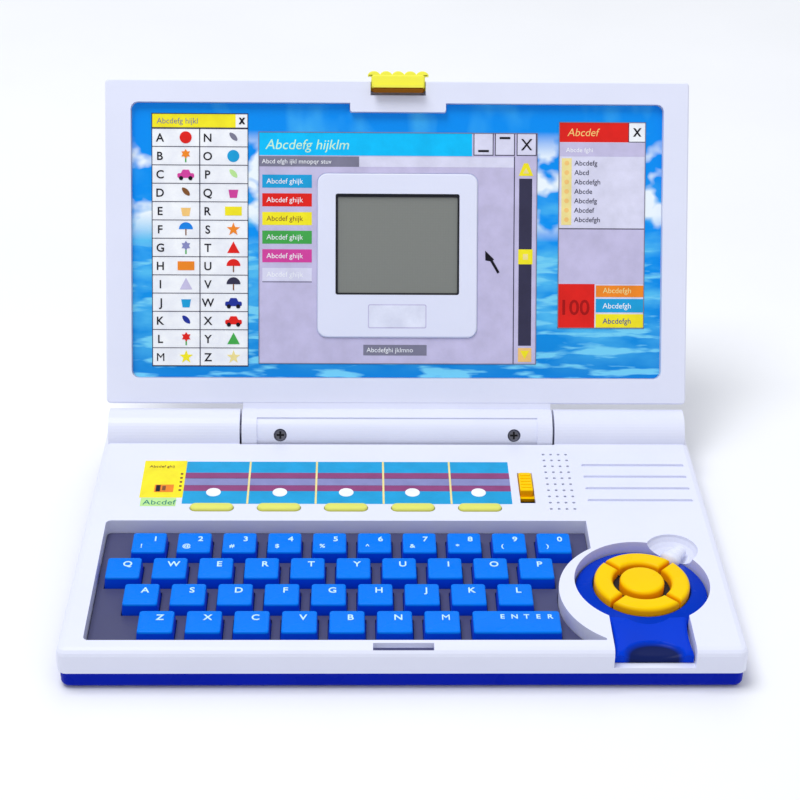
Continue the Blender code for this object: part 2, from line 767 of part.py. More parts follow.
def lid_lug_panel(mesh):
    """Shallow panel sunk into the front of the lug."""
    inner = BARREL_RADIUS - PANEL_DEPTH
    outline = arc((0, 0), inner, PANEL_SWEEP[0], PANEL_SWEEP[1], 18)
    outline += arc((0, 0), BARREL_RADIUS + 0.002, PANEL_SWEEP[1], PANEL_SWEEP[0], 18)
    add_loft(mesh, [[(x, -u, w) for u, w in outline] for x in (-PANEL_HALF, PANEL_HALF)])


def lid_lug_screws(mesh):
    """Counterbores for the two hinge screws."""
    low = BARREL_RADIUS - 0.0034
    for side in (-1, 1):
        add_post(mesh, side * SCREW_X, SCREW_Y, SCREW_RADIUS, low, BARREL_RADIUS + 0.002, 24)


def lid_back_cavity(mesh):
    add_box(mesh, grow(LID_BOX, -0.002), LID_SPLIT - 0.001, PLATE_BACK)


def lid_frame_cavity(mesh):
    """Space behind the frame, round the recess."""
    add_box(mesh, grow(LID_BOX, -0.002), LID_SPLIT - 0.001, LID_FACE - WALL)


def lid_frame_keep(mesh):
    recess = (-CARD_HALF, CARD_HALF, CARD_LOW, CARD_HIGH)
    add_box(mesh, grow(recess, 0.0016), LID_SPLIT - 0.002, LID_FACE)


def lid_wire_way(mesh):
    """Opening from the hollow lug into the lid."""
    half = LUG_HOLLOW_HALF - 0.004
    add_box(mesh, (-half, half, 0.004, LID_START + 0.004), LID_SPLIT - 0.001, PLATE_BACK - 0.0002)


def card_recess_outline():
    """Card recess with a tab of the frame reaching down in the middle for the latch."""
    outline = rounded_box(-CARD_HALF, CARD_HALF, CARD_LOW, CARD_HIGH, 0.003, 3)
    corner = len(outline) // 4
    radius = 0.0010
    low = CARD_HIGH - TAB_DROP + radius
    tab = [(TAB_HALF, CARD_HIGH)] + arc((TAB_HALF - radius, low), radius, 0, -90, 2)
    tab += arc((radius - TAB_HALF, low), radius, -90, -180, 2) + [(-TAB_HALF, CARD_HIGH)]
    return outline[:2 * corner] + tab + outline[2 * corner:]


def lid_card_recess(mesh):
    add_prism(mesh, card_recess_outline(), CARD_FLOOR, LID_FACE + 0.01)


def lid_surround(mesh):
    """Raised frame round the display."""
    heights = ((CARD_FLOOR - 0.001, 0), (SURROUND_FACE - 0.0004, 0), (SURROUND_FACE, 0.0005))
    add_loft(mesh, slab_rings(SURROUND, heights, 0.004))


def lid_window(mesh):
    add_prism(mesh, rounded_box(*WINDOW, 0.0008, 2), LID_SPLIT - 0.001, LID_FACE)


def lid_latch_notch(mesh):
    half = LATCH_HALF + GAP
    add_box(mesh, (-half, half, LATCH_LOW - LATCH_TRAVEL - GAP, LID_END + 0.01), LID_SPLIT + 0.0010,
            LID_FACE + 0.01)


def lid_latch_rails(mesh):
    """Grooves at the notch's sides that hold the latch in."""
    for side in (-1, 1):
        ends = sorted((side * (LATCH_HALF - 0.001), side * (LATCH_HALF + 0.0015)))
        add_box(mesh, (*ends, LATCH_LOW - LATCH_TRAVEL - GAP, LATCH_LOW + 0.0030), -0.0036, -0.0018)


lid_front = make_object("lid_front", lid_front_body, WHITE, lid_frame)
for join in (lid_lug, lid_lug_web, lid_pins):
    combine(lid_front, join, "UNION")
combine(lid_front, lid_back_cavity)
combine(combine(lid_front, lid_frame_cavity), lid_frame_keep)
combine(lid_front, lid_wire_way)


def latch_block(mesh):
    """Block kept round the latch's notch inside the lid."""
    half = LATCH_HALF + 0.0035
    add_box(mesh, (-half, half, LATCH_LOW - LATCH_TRAVEL - 0.002, LID_END - 0.001), LID_SPLIT,
            LID_FACE - 0.001)


combine(lid_front, latch_block, "UNION")
combine(lid_front, lid_card_recess)
combine(lid_front, lid_surround, "UNION")
for cut in (lid_window, lid_latch_notch, lid_latch_rails, lid_lug_hollow, lid_lug_panel, lid_lug_screws):
    combine(lid_front, cut)


def lid_back_body(mesh):
    low = LID_BACK
    rings = [(low, LID_EDGE)]
    for step in range(1, 5):
        angle = math.radians(22.5 * step)
        rings.append((low + LID_EDGE * (1 - math.cos(angle)), LID_EDGE * (1 - math.sin(angle))))
    rings.append((LID_SPLIT - GAP, 0.0))
    add_loft(mesh, slab_rings(LID_BOX, rings, LID_CORNER))


def lid_back_hollow(mesh):
    add_box(mesh, grow(LID_BOX, -0.0022), LID_BACK + 0.0018, LID_SPLIT + 0.001)


def lid_back_panel(mesh):
    """Shallow panel sunk into the outside of the lid."""
    box = grow(LID_BOX, -BACK_PANEL_MARGIN)
    heights = ((LID_BACK - 0.001, 0), (LID_BACK, 0), (LID_BACK + 0.0005, 0.0008))
    add_loft(mesh, slab_rings(box, heights, 0.010, 6))


def lid_back_screws(mesh):
    for x, u in LID_SCREWS:
        add_post(mesh, x, u, SCREW_RADIUS, LID_BACK - 0.001, LID_BACK + 0.0014, 20)


lid_back = make_object("lid_back", lid_back_body, WHITE, lid_frame)
for cut in (lid_back_hollow, lid_back_panel, lid_back_screws):
    combine(lid_back, cut)


def display_body(mesh):
    """Display glass standing in the window, with its frame and board behind the lid's plate."""
    x0, x1, y0, y1 = grow(WINDOW, -GAP)
    frame = grow(WINDOW, 0.0035)
    back = PLATE_BACK - GAP
    sections = ((back - 0.0034, frame), (back, frame), (back, (x0, x1, y0, y1)),
                (SURROUND_FACE - 0.0016, (x0, x1, y0, y1)))
    rings = []
    for z, box in sections:
        rings.append([(x, y, z) for x, y in rounded_box(*box, 0.0005, 1)])
    add_loft(mesh, rings)


make_object("lcd_module", display_body, GLASS, lid_frame)


# ---- latch --------------------------------------------------------------------------------------
def latch_body(mesh):
    """Slider with a ribbed grip above the lid's edge; its origin is at its lower edge."""
    heights = ((LID_SPLIT + 0.0010 + GAP, 0), (LID_FACE - 0.0006, 0), (LID_FACE, 0.0005))
    box = (-LATCH_HALF, LATCH_HALF, 0.0, LATCH_HIGH - LATCH_LOW - 0.0014)
    add_loft(mesh, slab_rings(box, heights, 0.0010, 3))


def latch_rails(mesh):
    half = LATCH_HALF + 0.0009
    add_box(mesh, (-half, half, 0.0004, 0.0026), -0.0033, -0.0021)


def latch_hook(mesh):
    """Stem through the catch slot, with a toe that grips under the slot's lip."""
    stem = (0.0004, 0.0020)
    add_box(mesh, (-HOOK_HALF, HOOK_HALF, *stem), -0.001, 0.0048)


def latch_toe(mesh):
    profile = ((0.0010, 0.0028), (0.0010, 0.0048), (0.0002, 0.0048), (-0.0010, 0.0036), (-0.0010, 0.0028))
    add_loft(mesh, [[(x, y, z) for y, z in profile] for x in (-HOOK_HALF, HOOK_HALF)])


def latch_grip(mesh):
    """Wide finger grip with a lobed top, which clears the lid's edge when the latch is pushed down."""
    low = LID_END + LATCH_TRAVEL + GAP - LATCH_LOW
    high = LATCH_HIGH - LATCH_LOW
    lobe = 2 * GRIP_HALF / GRIP_LOBES
    steps = 6
    outline = [(-GRIP_HALF, low), (GRIP_HALF, low)]
    for step in range(GRIP_LOBES * steps + 1):
        x = GRIP_HALF - lobe * step / steps
        swell = abs(math.sin(math.pi * step / steps))
        outline.append((x, high - 0.0012 * (1 - swell)))
    add_prism(mesh, outline, LID_SPLIT + 0.0018, LID_FACE - 0.0004)


latch = make_object("latch", latch_body, YELLOW, lid_frame, (0.0, LATCH_LOW, 0.0))
for join in (latch_rails, latch_hook, latch_toe, latch_grip):
    combine(latch, join, "UNION")
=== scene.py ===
"""Looks of the toy laptop computer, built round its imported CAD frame.

Drawings are made in millimetres in the frame of the body that they ride on, and turned into
metres when they are finished. On the lid x is to the right, y runs up the lid from the hinge axis
and z points out of it towards the user. On the deck and the mouse x is to the right, y to the back
and z up from the height of the hinge axis, which is the deck's top.
"""
import json
import math

import bmesh
import bpy
from mathutils import Matrix, Vector


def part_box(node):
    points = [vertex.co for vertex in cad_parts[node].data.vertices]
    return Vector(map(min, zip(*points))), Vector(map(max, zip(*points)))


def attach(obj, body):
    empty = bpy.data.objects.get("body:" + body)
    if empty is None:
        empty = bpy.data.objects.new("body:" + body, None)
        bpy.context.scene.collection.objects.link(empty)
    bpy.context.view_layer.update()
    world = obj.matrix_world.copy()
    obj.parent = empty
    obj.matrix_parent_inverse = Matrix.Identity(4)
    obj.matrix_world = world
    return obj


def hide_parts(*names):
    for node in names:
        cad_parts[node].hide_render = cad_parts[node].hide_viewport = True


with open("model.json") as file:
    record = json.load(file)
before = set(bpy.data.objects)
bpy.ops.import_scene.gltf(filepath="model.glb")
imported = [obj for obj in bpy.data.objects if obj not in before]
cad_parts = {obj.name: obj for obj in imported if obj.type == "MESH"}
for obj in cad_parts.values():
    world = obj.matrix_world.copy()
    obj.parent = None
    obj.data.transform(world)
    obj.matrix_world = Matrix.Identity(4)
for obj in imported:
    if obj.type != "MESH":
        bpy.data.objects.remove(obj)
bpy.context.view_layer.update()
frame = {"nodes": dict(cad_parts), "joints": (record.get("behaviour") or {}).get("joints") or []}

MM = 0.001
RIGHT, BACK, UP = Vector((1, 0, 0)), Vector((0, 1, 0)), Vector((0, 0, 1))
JOINTS = {joint["name"]: joint for joint in frame["joints"]}
HINGE = Vector(JOINTS["lid_hinge"]["pos_m"])
LID_UP = -Vector(JOINTS["latch_slide"]["axis"]).normalized()
LID_OUT = RIGHT.cross(LID_UP).normalized()


def frame_at(origin, y_axis=BACK, z_axis=UP):
    """Rigid frame with +X to the right."""
    rotation = Matrix((RIGHT, y_axis, z_axis)).transposed()
    return Matrix.Translation(origin) @ rotation.to_4x4()


def node_centre(node):
    """Middle of a CAD node at the height of its top."""
    low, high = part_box(node)
    return Vector(((low.x + high.x) / 2, (low.y + high.y) / 2, high.z))


LID = frame_at(HINGE, LID_UP, LID_OUT)
DECK = frame_at(HINGE)
MOUSE_TOP = node_centre("mouse_pad_centre")
MOUSE = frame_at(Vector((MOUSE_TOP.x, MOUSE_TOP.y, HINGE.z)))


# ---- colours and materials ----
FLOW_MARKS = (38.0, 3.0, 0.55)  # scale, detail and roughness of each noise
HANDLING = (120.0, 4.0, 0.6)
PRINT_SCREEN = (2600.0, 2.0, 0.5)
BRUSHING = (1400.0, 3.0, 0.6)
GRAIN_SCALE = 900.0
GRAIN_DEPTH = 0.000012
SCREEN_DEPTH = 0.000004
PRINT_SHINE = 0.15
BLACK = (0.0, 0.0, 0.0, 1.0)
FULL = (1.0, 1.0, 1.0, 1.0)


def srgb(red, green, blue):
    """Linear colour of an 8-bit screen colour."""
    def linear(value):
        value /= 255
        return value / 12.92 if value <= 0.04045 else ((value + 0.055) / 1.055) ** 2.4
    return linear(red), linear(green), linear(blue), 1.0


def shaded(colour, factor):
    return tuple(min(1.0, channel * factor) for channel in colour[:3]) + (1.0,)


class Nodes:
    """A material's node tree, with the shader and the piece's own coordinates at hand."""

    def __init__(self, name):
        self.material = bpy.data.materials.new(name)
        self.material.use_nodes = True
        self.tree = self.material.node_tree
        self.shader = self.tree.nodes["Principled BSDF"]
        self.place = self.tree.nodes.new("ShaderNodeTexCoord").outputs["Object"]

    def feed(self, node, inputs):
        """Gives each named input its value, or joins it to the output that feeds it."""
        for key, value in inputs.items():
            if isinstance(value, bpy.types.NodeSocket):
                self.tree.links.new(value, node.inputs[key])
            else:
                node.inputs[key].default_value = value

    def add(self, kind, inputs, **settings):
        node = self.tree.nodes.new("ShaderNode" + kind)
        for key, value in settings.items():
            setattr(node, key, value)
        self.feed(node, inputs)
        return node

    def noise(self, scale, detail=3.0, roughness=0.5, place=None):
        node = self.add("TexNoise", {"Scale": scale, "Detail": detail, "Roughness": roughness,
                                     "Vector": place or self.place})
        return node.outputs["Fac"]

    def ramp(self, value, stops):
        node = self.add("ValToRGB", {"Fac": value})
        elements = node.color_ramp.elements
        while len(elements) < len(stops):
            elements.new(0.5)
        for element, (position, colour) in zip(elements, stops):
            element.position = position
            element.color = colour
        return node.outputs["Color"]

    def uneven(self, value, colour, low, high):
        """A colour that wavers between a darker and a lighter shade of itself."""
        return self.ramp(value, ((0.3, shaded(colour, low)), (0.7, shaded(colour, high))))

    def grey(self, value, low, high, start=0.3, end=0.7):
        """A value stretched between two greys, for roughness and masks."""
        node = self.add("MapRange", {"Value": value, "From Min": start, "From Max": end,
                                     "To Min": low, "To Max": high})
        return node.outputs["Result"]

    def mix(self, mask, first, second):
        """Colour that goes from first to second with the mask; each is a colour or an output."""
        return self.add("Mix", {"Factor": mask, 6: first, 7: second}, data_type="RGBA").outputs[2]

    def surface(self, colour, roughness, height, depth, **shader):
        """The finished material: its colour, roughness, relief and other shader inputs."""
        bump = self.add("Bump", {"Height": height, "Distance": depth, "Strength": 1.0})
        self.feed(self.shader, {"Base Color": colour, "Roughness": roughness,
                                "Normal": bump.outputs["Normal"]})
        self.feed(self.shader, {key.replace("_", " "): value for key, value in shader.items()})
        return self.material


def plastic(name, colour, gloss=0.32, grain=GRAIN_SCALE, depth=GRAIN_DEPTH, shine=0.3, spread=0.06,
            painted_side_shade=None):
    """Moulded plastic: a fine spark-eroded grain, faint flow marks and uneven handling gloss.
    The upright walls can take a deeper colour: painted shade on the sides, which face the light
    less."""
    nodes = Nodes(name)
    flow = nodes.noise(*FLOW_MARKS)
    base = nodes.uneven(flow, colour, 1 - spread, 1 + spread)
    if painted_side_shade:
        # Upright faces take the painted side shade; faces that point up keep the colour.
        normal = nodes.add("NewGeometry", {}).outputs["Normal"]
        upward = nodes.add("SeparateXYZ", {"Vector": normal}).outputs["Z"]
        base = nodes.mix(nodes.grey(upward, 0.0, 1.0, 0.1, 0.9), painted_side_shade, base)
    return nodes.surface(base, nodes.grey(flow, gloss * 0.82, gloss * 1.2),
                         nodes.noise(grain, 4.0, 0.6), depth, Specular_IOR_Level=shine)


NECK_FRONT = -39.7  # front edge of the mouse's neck, from the mouse's axis
SCOOP_HALF = 11.3  # half width of the finger scoop
SCOOP_REACH = 8.2  # its length, back from the front edge
SCOOP_DEPTH = 1.9


def scooped_plastic(name, colour, scoop_shade):
    """Glossy plastic with painted shade filling the finger scoop at the front of the mouse."""
    nodes = Nodes(name)
    flow = nodes.noise(*FLOW_MARKS)
    even = nodes.uneven(flow, colour, 0.94, 1.06)
    centred = nodes.add("Mapping", {
        "Vector": nodes.place, "Location": (0.0, -NECK_FRONT / SCOOP_REACH, 0.0),
        "Scale": (1 / (SCOOP_HALF * MM), 1 / (SCOOP_REACH * MM), 0.0)})
    inside = nodes.add("TexGradient", {"Vector": centred.outputs["Vector"]},
                       gradient_type="SPHERICAL").outputs["Fac"]
    return nodes.surface(nodes.mix(nodes.grey(inside, 0.0, 1.0, 0.0, 0.22), even, scoop_shade),
                         nodes.grey(flow, 0.2, 0.32), nodes.noise(GRAIN_SCALE, 4.0, 0.6),
                         GRAIN_DEPTH, Specular_IOR_Level=0.05)


def ink(name, colour, spread=0.08):
    """Printed colour on glossy laminated card, with a faint screen and slight unevenness."""
    nodes = Nodes(name)
    screen = nodes.noise(*PRINT_SCREEN)
    patchy = nodes.uneven(nodes.noise(*HANDLING), colour, 1 - spread, 1 + spread)
    return nodes.surface(patchy, nodes.grey(screen, 0.28, 0.42), screen, SCREEN_DEPTH,
                         Specular_IOR_Level=PRINT_SHINE)


def metal(name, colour, gloss):
    nodes = Nodes(name)
    streaks = nodes.noise(*BRUSHING)
    return nodes.surface(nodes.uneven(streaks, colour, 0.8, 1.1),
                         nodes.grey(streaks, gloss, gloss * 1.6), streaks, 0.000008, Metallic=1.0)


SKY_LOW, SKY_HIGH = 0.023, 0.141  # the card's edges above the hinge axis, in metres


def sky_print():
    """Blue sky with haze and long waves low down, heaped clouds above and thin streaks on top.
    Each cloud layer is a stretched noise, cut at two levels and kept to a band of heights."""
    nodes = Nodes("sky_print")
    above = nodes.add("SeparateXYZ", {"Vector": nodes.place}).outputs["Y"]
    height = nodes.grey(above, 0.0, 1.0, SKY_LOW, SKY_HIGH)
    colour = nodes.ramp(height, ((0.0, srgb(6, 134, 218)), (0.25, srgb(10, 148, 230)),
                                 (0.55, srgb(0, 148, 242)), (1.0, srgb(0, 142, 240))))
    for shade, stretch, scale, low, high, band in (
            (srgb(84, 192, 242), (1.0, 2.4, 1.0), 40.0, 0.40, 0.64,
             ((0.0, BLACK), (0.2, FULL), (0.6, FULL), (0.75, BLACK))),
            (srgb(90, 205, 248), (1.4, 0.8, 1.0), 26.0, 0.50, 0.8,
             ((0.0, BLACK), (0.7, BLACK), (0.85, FULL), (1.0, FULL))),
            (srgb(120, 212, 246), (0.7, 3.6, 1.0), 60.0, 0.50, 0.58,
             ((0.0, FULL), (0.44, FULL), (0.52, BLACK), (1.0, BLACK))),
            (srgb(244, 252, 255), (1.0, 1.3, 1.0), 44.0, 0.46, 0.54,
             ((0.0, BLACK), (0.5, BLACK), (0.6, FULL), (0.8, FULL), (0.9, BLACK)))):
        stretched = nodes.add("Mapping", {"Vector": nodes.place, "Scale": stretch})
        shape = nodes.noise(scale, 3.0, 0.5, stretched.outputs["Vector"])
        cloud = nodes.add("Math", {0: nodes.grey(shape, 0.0, 1.0, low, high),
                                   1: nodes.ramp(height, band)}, operation="MULTIPLY")
        colour = nodes.mix(cloud.outputs["Value"], colour, shade)
    screen = nodes.noise(*PRINT_SCREEN)
    return nodes.surface(colour, nodes.grey(screen, 0.3, 0.42), screen, SCREEN_DEPTH,
                         Specular_IOR_Level=PRINT_SHINE)


SEGMENT = 0.0011  # pitch of the display's segments, in metres


def display_glass():
    """Grey liquid-crystal display: a fine grid of segments over a mottled reflector."""
    nodes = Nodes("display_grey")
    lean = math.atan2(LID_UP.z, LID_UP.y)
    tilt = nodes.add("Mapping", {"Vector": nodes.place, "Rotation": (-lean, 0.0, 0.0)})
    grid = nodes.add("TexBrick", {
        "Vector": tilt.outputs["Vector"], "Color1": srgb(128, 130, 124),
        "Color2": srgb(127, 129, 123), "Mortar": srgb(125, 127, 121), "Scale": 1.0,
        "Mortar Size": 0.00008, "Mortar Smooth": 0.3, "Brick Width": SEGMENT,
        "Row Height": SEGMENT}, offset=0.0, squash=1.0)
    mottle = nodes.noise(700.0)
    return nodes.surface(grid.outputs["Color"], nodes.grey(mottle, 0.12, 0.2), mottle, 0.000003,
                         Coat_Weight=0.4, Coat_Roughness=0.05)


def circuit_board():
    """Green lacquer over copper tracks."""
    nodes = Nodes("board_green")
    tracks = nodes.add("TexVoronoi", {"Vector": nodes.place, "Scale": 150.0},
                       feature="DISTANCE_TO_EDGE", distance="MANHATTAN")
    line = nodes.grey(tracks.outputs["Distance"], 1.0, 0.0, 0.03, 0.08)
    return nodes.surface(nodes.mix(line, srgb(14, 92, 44), srgb(40, 132, 66)),
                         nodes.grey(nodes.noise(300.0), 0.3, 0.45), line, 0.00003)


WHITE = plastic("white_satin", srgb(231, 233, 250), 0.34, spread=0.012)
TRAY_BLUE = plastic("tray_blue", srgb(0, 28, 172), 0.3, shine=0.05)
# One blue plastic in two copies: lighter on the key tops as painted light, darker on the skirts as
# painted shade.
KEY_TOP_LIT = plastic("key_top_lit", srgb(0, 122, 240), 0.26, shine=0.08)
KEY_SKIRT_SHADED = plastic("key_skirt_shaded", srgb(0, 72, 226), 0.3, shine=0.06)
# Mouse blue, with painted shade filling the finger scoop.
MOUSE_BLUE = scooped_plastic("mouse_blue", srgb(0, 60, 208), srgb(20, 32, 86))
# Darker copy of the mouse's blue for the flange: painted shade.
MOUSE_RIM_SHADED = plastic("mouse_rim_shaded", srgb(0, 55, 190), 0.26, shine=0.05)
# The upright sides of the pads and the switch knob take a painted orange shade.
YELLOW = plastic("button_yellow", srgb(252, 207, 0), 0.3, shine=0.07, spread=0.03,
                 painted_side_shade=srgb(255, 176, 0))
MODE_YELLOW = plastic("mode_yellow", srgb(228, 228, 112), 0.3, shine=0.1, spread=0.03)
# Dark amber copy of the latch's yellow: painted shade on its lower parts.
LATCH_SHADE = plastic("latch_shade", srgb(150, 90, 18), 0.3, shine=0.05, spread=0.03)
LATCH_YELLOW = plastic("latch_yellow", srgb(246, 240, 84), 0.3, shine=0.1, spread=0.03)
SLATE = plastic("well_slate", srgb(76, 77, 113), 0.5, grain=600.0, depth=0.00003)
LEGEND = ink("legend_white", srgb(206, 243, 255), 0.02)
SCREW = metal("screw_steel", srgb(126, 126, 136), 0.28)
# Dark plastic for the display's edge, also used as painted shade in the pads' gaps and in the
# screws' cross recesses.
DARK_PART_AND_SHADE = plastic("dark_part_and_shade", srgb(26, 26, 34), 0.5)
BOARD = circuit_board()
GLASS = display_glass()
SKY = sky_print()


def add_object(name, data, place=Matrix()):
    item = bpy.data.objects.new(name, data)
    item.matrix_world = place
    bpy.context.scene.collection.objects.link(item)
    return item


def final_mesh(item):
    """Mesh of an object as its curves or modifiers leave it."""
    graph = bpy.context.evaluated_depsgraph_get()
    return bpy.data.meshes.new_from_object(item.evaluated_get(graph))


# ---- drawing ----
def arc(centre, radius, start_deg, end_deg, steps):
    """Points of an arc from one angle to another, both ends included."""
    points = []
    for step in range(steps + 1):
        angle = math.radians(start_deg + (end_deg - start_deg) * step / steps)
        points.append((centre[0] + radius * math.cos(angle), centre[1] + radius * math.sin(angle)))
    return points


def rounded(x0, x1, y0, y1, radius, steps=4):
    """Counter-clockwise outline of a rectangle with round corners."""
    outline = []
    for x, y, start in ((x1, y0, -90), (x1, y1, 0), (x0, y1, 90), (x0, y0, 180)):
        cx = x - math.copysign(radius, x - (x0 + x1) / 2)
        cy = y - math.copysign(radius, y - (y0 + y1) / 2)
        outline += arc((cx, cy), radius, start, start + 90, steps)
    return outline


def centred_box(half_x, half_y, radius, steps=4):
    return rounded(-half_x, half_x, -half_y, half_y, radius, steps)


def rectangle(x0, x1, y0, y1):
    return [(x0, y0), (x1, y0), (x1, y1), (x0, y1)]


def disc(x, y, radius, steps=28):
    return arc((x, y), radius, 0, 360, steps)[:-1]


def star(x, y, radius, points=5, inner=0.42):
    outline = []
    for step in range(2 * points):
        angle = math.pi / 2 + math.pi * step / points
        reach = radius if step % 2 == 0 else radius * inner
        outline.append((x + reach * math.cos(angle), y + reach * math.sin(angle)))
    return outline


def fillet(radius, steps=5):
    """(inset, drop) pairs of a quarter round, from the side up to the top."""
    pairs = []
    for step in range(steps + 1):
        angle = math.pi / 2 * step / steps
        pairs.append((radius * (1 - math.cos(angle)), radius * (1 - math.sin(angle))))
    return pairs


LETTER_WEIGHT = 0.014  # widens the strokes; M and the small letters have no room for it
CAPITAL = 0.729  # height of the font's capitals, in its own units
TEXT_MESHES = {}


def text_mesh(words):
    """Mesh of a line of letters, 1 mm high capitals, 1 mm thick, starting at the origin."""
    if words not in TEXT_MESHES:
        curve = bpy.data.curves.new("letters", "FONT")
        curve.body = words
        curve.extrude = 0.5
        crowded = any(letter.islower() or letter == "M" for letter in words)
        curve.offset = 0.0 if crowded else LETTER_WEIGHT
        curve.resolution_u = 4
        item = add_object("letters", curve)
        mesh = final_mesh(item)
        bpy.data.objects.remove(item)
        reach = [vertex.co.x for vertex in mesh.vertices]
        mesh.transform(Matrix.Diagonal((1 / CAPITAL, 1 / CAPITAL, 1, 1)))
        TEXT_MESHES[words] = mesh, (max(reach) + min(reach)) / CAPITAL
    return TEXT_MESHES[words]


def wording(*lengths):
    """Placeholder print: the alphabet cut into words of these lengths."""
    words, start = [], 0
    for length in lengths:
        letters = (chr(ord("a") + (start + step) % 26) for step in range(length))
        words.append("".join(letters))
        start += length
    return " ".join(words).capitalize()


SHARP_ANGLE = math.radians(35)


class Drawing:
    """Shapes in millimetres that become one piece."""

    def __init__(self):
        self.mesh = bmesh.new()
        self.materials = []

    def paint(self, faces, material):
        if material not in self.materials:
            self.materials.append(material)
        index = self.materials.index(material)
        for face in faces:
            face.material_index = index

    def loft(self, rings, material, tops=None):
        """Closed body through rings of equal length.
        Faces above ring number tops[0] take material tops[1]."""
        layers = [[self.mesh.verts.new(point) for point in ring] for ring in rings]
        for number, (low, high) in enumerate(zip(layers, layers[1:])):
            band = [self.mesh.faces.new((low[i - 1], low[i], high[i], high[i - 1]))
                    for i in range(len(low))]
            self.paint(band, tops[1] if tops and number >= tops[0] else material)
        self.paint([self.mesh.faces.new(layers[0][::-1])], material)
        self.paint([self.mesh.faces.new(layers[-1])], tops[1] if tops else material)

    def prism(self, outline, low, high, material):
        self.loft([[(x, y, z) for x, y in outline] for z in (low, high)], material)

    def turned(self, profile, material, steps=96):
        """Ring-shaped body: a closed profile of (radius, z) points carried round the z axis."""
        layers = []
        for step in range(steps):
            angle = 2 * math.pi * step / steps
            across, back = math.cos(angle), math.sin(angle)
            layers.append([self.mesh.verts.new((radius * across, radius * back, z))
                           for radius, z in profile])
        faces = [self.mesh.faces.new((first[i - 1], first[i], second[i], second[i - 1]))
                 for first, second in zip(layers, layers[1:] + layers[:1])
                 for i in range(len(profile))]
        self.paint(faces, material)

    def pillow(self, outline_of, bottom, top, radius, material, steps=5):
        """Body whose outline draws in along a quarter round at its top."""
        rings = [[(x, y, bottom) for x, y in outline_of(0.0)]]
        for inset, drop in fillet(radius, steps):
            rings.append([(x, y, top - drop) for x, y in outline_of(inset)])
        self.loft(rings, material)

    def plate(self, outlines, low, high, material):
        """Flat plate with holes: the first outline is its edge."""
        edges = []
        for outline in outlines:
            ring = [self.mesh.verts.new((x, y, low)) for x, y in outline]
            edges += [self.mesh.edges.new((a, b)) for a, b in zip(ring, ring[1:] + ring[:1])]
        filled = bmesh.ops.triangle_fill(self.mesh, edges=edges, use_beauty=True)
        faces = [item for item in filled["geom"] if isinstance(item, bmesh.types.BMFace)]
        raised = bmesh.ops.extrude_face_region(self.mesh, geom=faces, use_keep_orig=True)
        corners = [item for item in raised["geom"] if isinstance(item, bmesh.types.BMVert)]
        bmesh.ops.translate(self.mesh, verts=corners, vec=(0, 0, high - low))
        around = {face for corner in corners for face in corner.link_faces}
        self.paint(list(around) + faces, material)

    def letters(self, words, x, y, size, low, high, material, centred=True, slant=0.0):
        """Raised letters with capitals of the given height."""
        mesh, width = text_mesh(words)
        left = x - size * width / 2 if centred else x
        old_verts, old_faces = len(self.mesh.verts), len(self.mesh.faces)
        self.mesh.from_mesh(mesh)
        self.mesh.verts.ensure_lookup_table()
        self.mesh.faces.ensure_lookup_table()
        for vertex in self.mesh.verts[old_verts:]:
            flat = vertex.co.copy()
            vertex.co = (left + size * (flat.x + slant * flat.y), y + size * flat.y,
                         (low + high) / 2 + flat.z * (high - low))
        self.paint(self.mesh.faces[old_faces:], material)

    def to_mesh(self, name):
        """The drawing as a mesh in metres."""
        bmesh.ops.recalc_face_normals(self.mesh, faces=self.mesh.faces)
        bmesh.ops.scale(self.mesh, vec=(MM, MM, MM), verts=self.mesh.verts)
        mesh = bpy.data.meshes.new(name)
        self.mesh.to_mesh(mesh)
        self.mesh.free()
        for material in self.materials:
            mesh.materials.append(material)
        return mesh

    def finish(self, name, place, body, slot=None, replaces=()):
        """Turns the drawing into a piece that rides on a body."""
        mesh = self.to_mesh(name)
        mesh.shade_smooth()
        mesh.set_sharp_from_angle(angle=SHARP_ANGLE)
        piece = add_object(name, mesh, place)
        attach(piece, body)
        if replaces:
            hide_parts(*replaces)
        return piece


# ---- carried-over nodes ----
FINISHES = {
    "deck": WHITE, "lid_front": WHITE, "lid_back": WHITE, "base_tray": TRAY_BLUE,
    "battery_door": TRAY_BLUE, "key_bed": SLATE, "lcd_module": GLASS, "main_board": BOARD,
    "speaker": SCREW, "latch": LATCH_YELLOW, "slide_switch": YELLOW, "mouse_lead_boot": WHITE,
    "mouse_shell": MOUSE_BLUE,
}
for node, material in FINISHES.items():
    node_mesh = frame["nodes"][node].data
    node_mesh.materials.clear()
    node_mesh.materials.append(material)


# ---- keys ----
KEY_FLANGE = 0.8  # how far the flange under the bed stands out
FLANGE_HEIGHT = 1.0
CAP_SIDE = ((-1.5, 0.26), (-0.95, 0.34))  # height and draw-in of the cap's side below its edge
CAP_EDGE = 0.7  # radius of the edge
EDGE_START = 0.36  # draw-in where the edge starts
CAP_DISH = ((-0.12, 2.2), (-0.2, 4.2))  # height and draw-in of the dished top
LEGEND_LOW, LEGEND_HIGH = -0.35, 0.03
LETTER_AT = (1.4, 0.8, 3.3)  # x, y and capital height of each legend, from the middle of its cap
DIGIT_AT = (2.4, 0.8, 3.1)
MARK_AT = (-2.8, -3.6, 2.4)
ENTER_AT = (-5.2, 1.6, 2.6)
ENTER_STEP = 4.5
DIGIT_MARKS = dict(zip("1234567890", "!@#$%^&*()"))


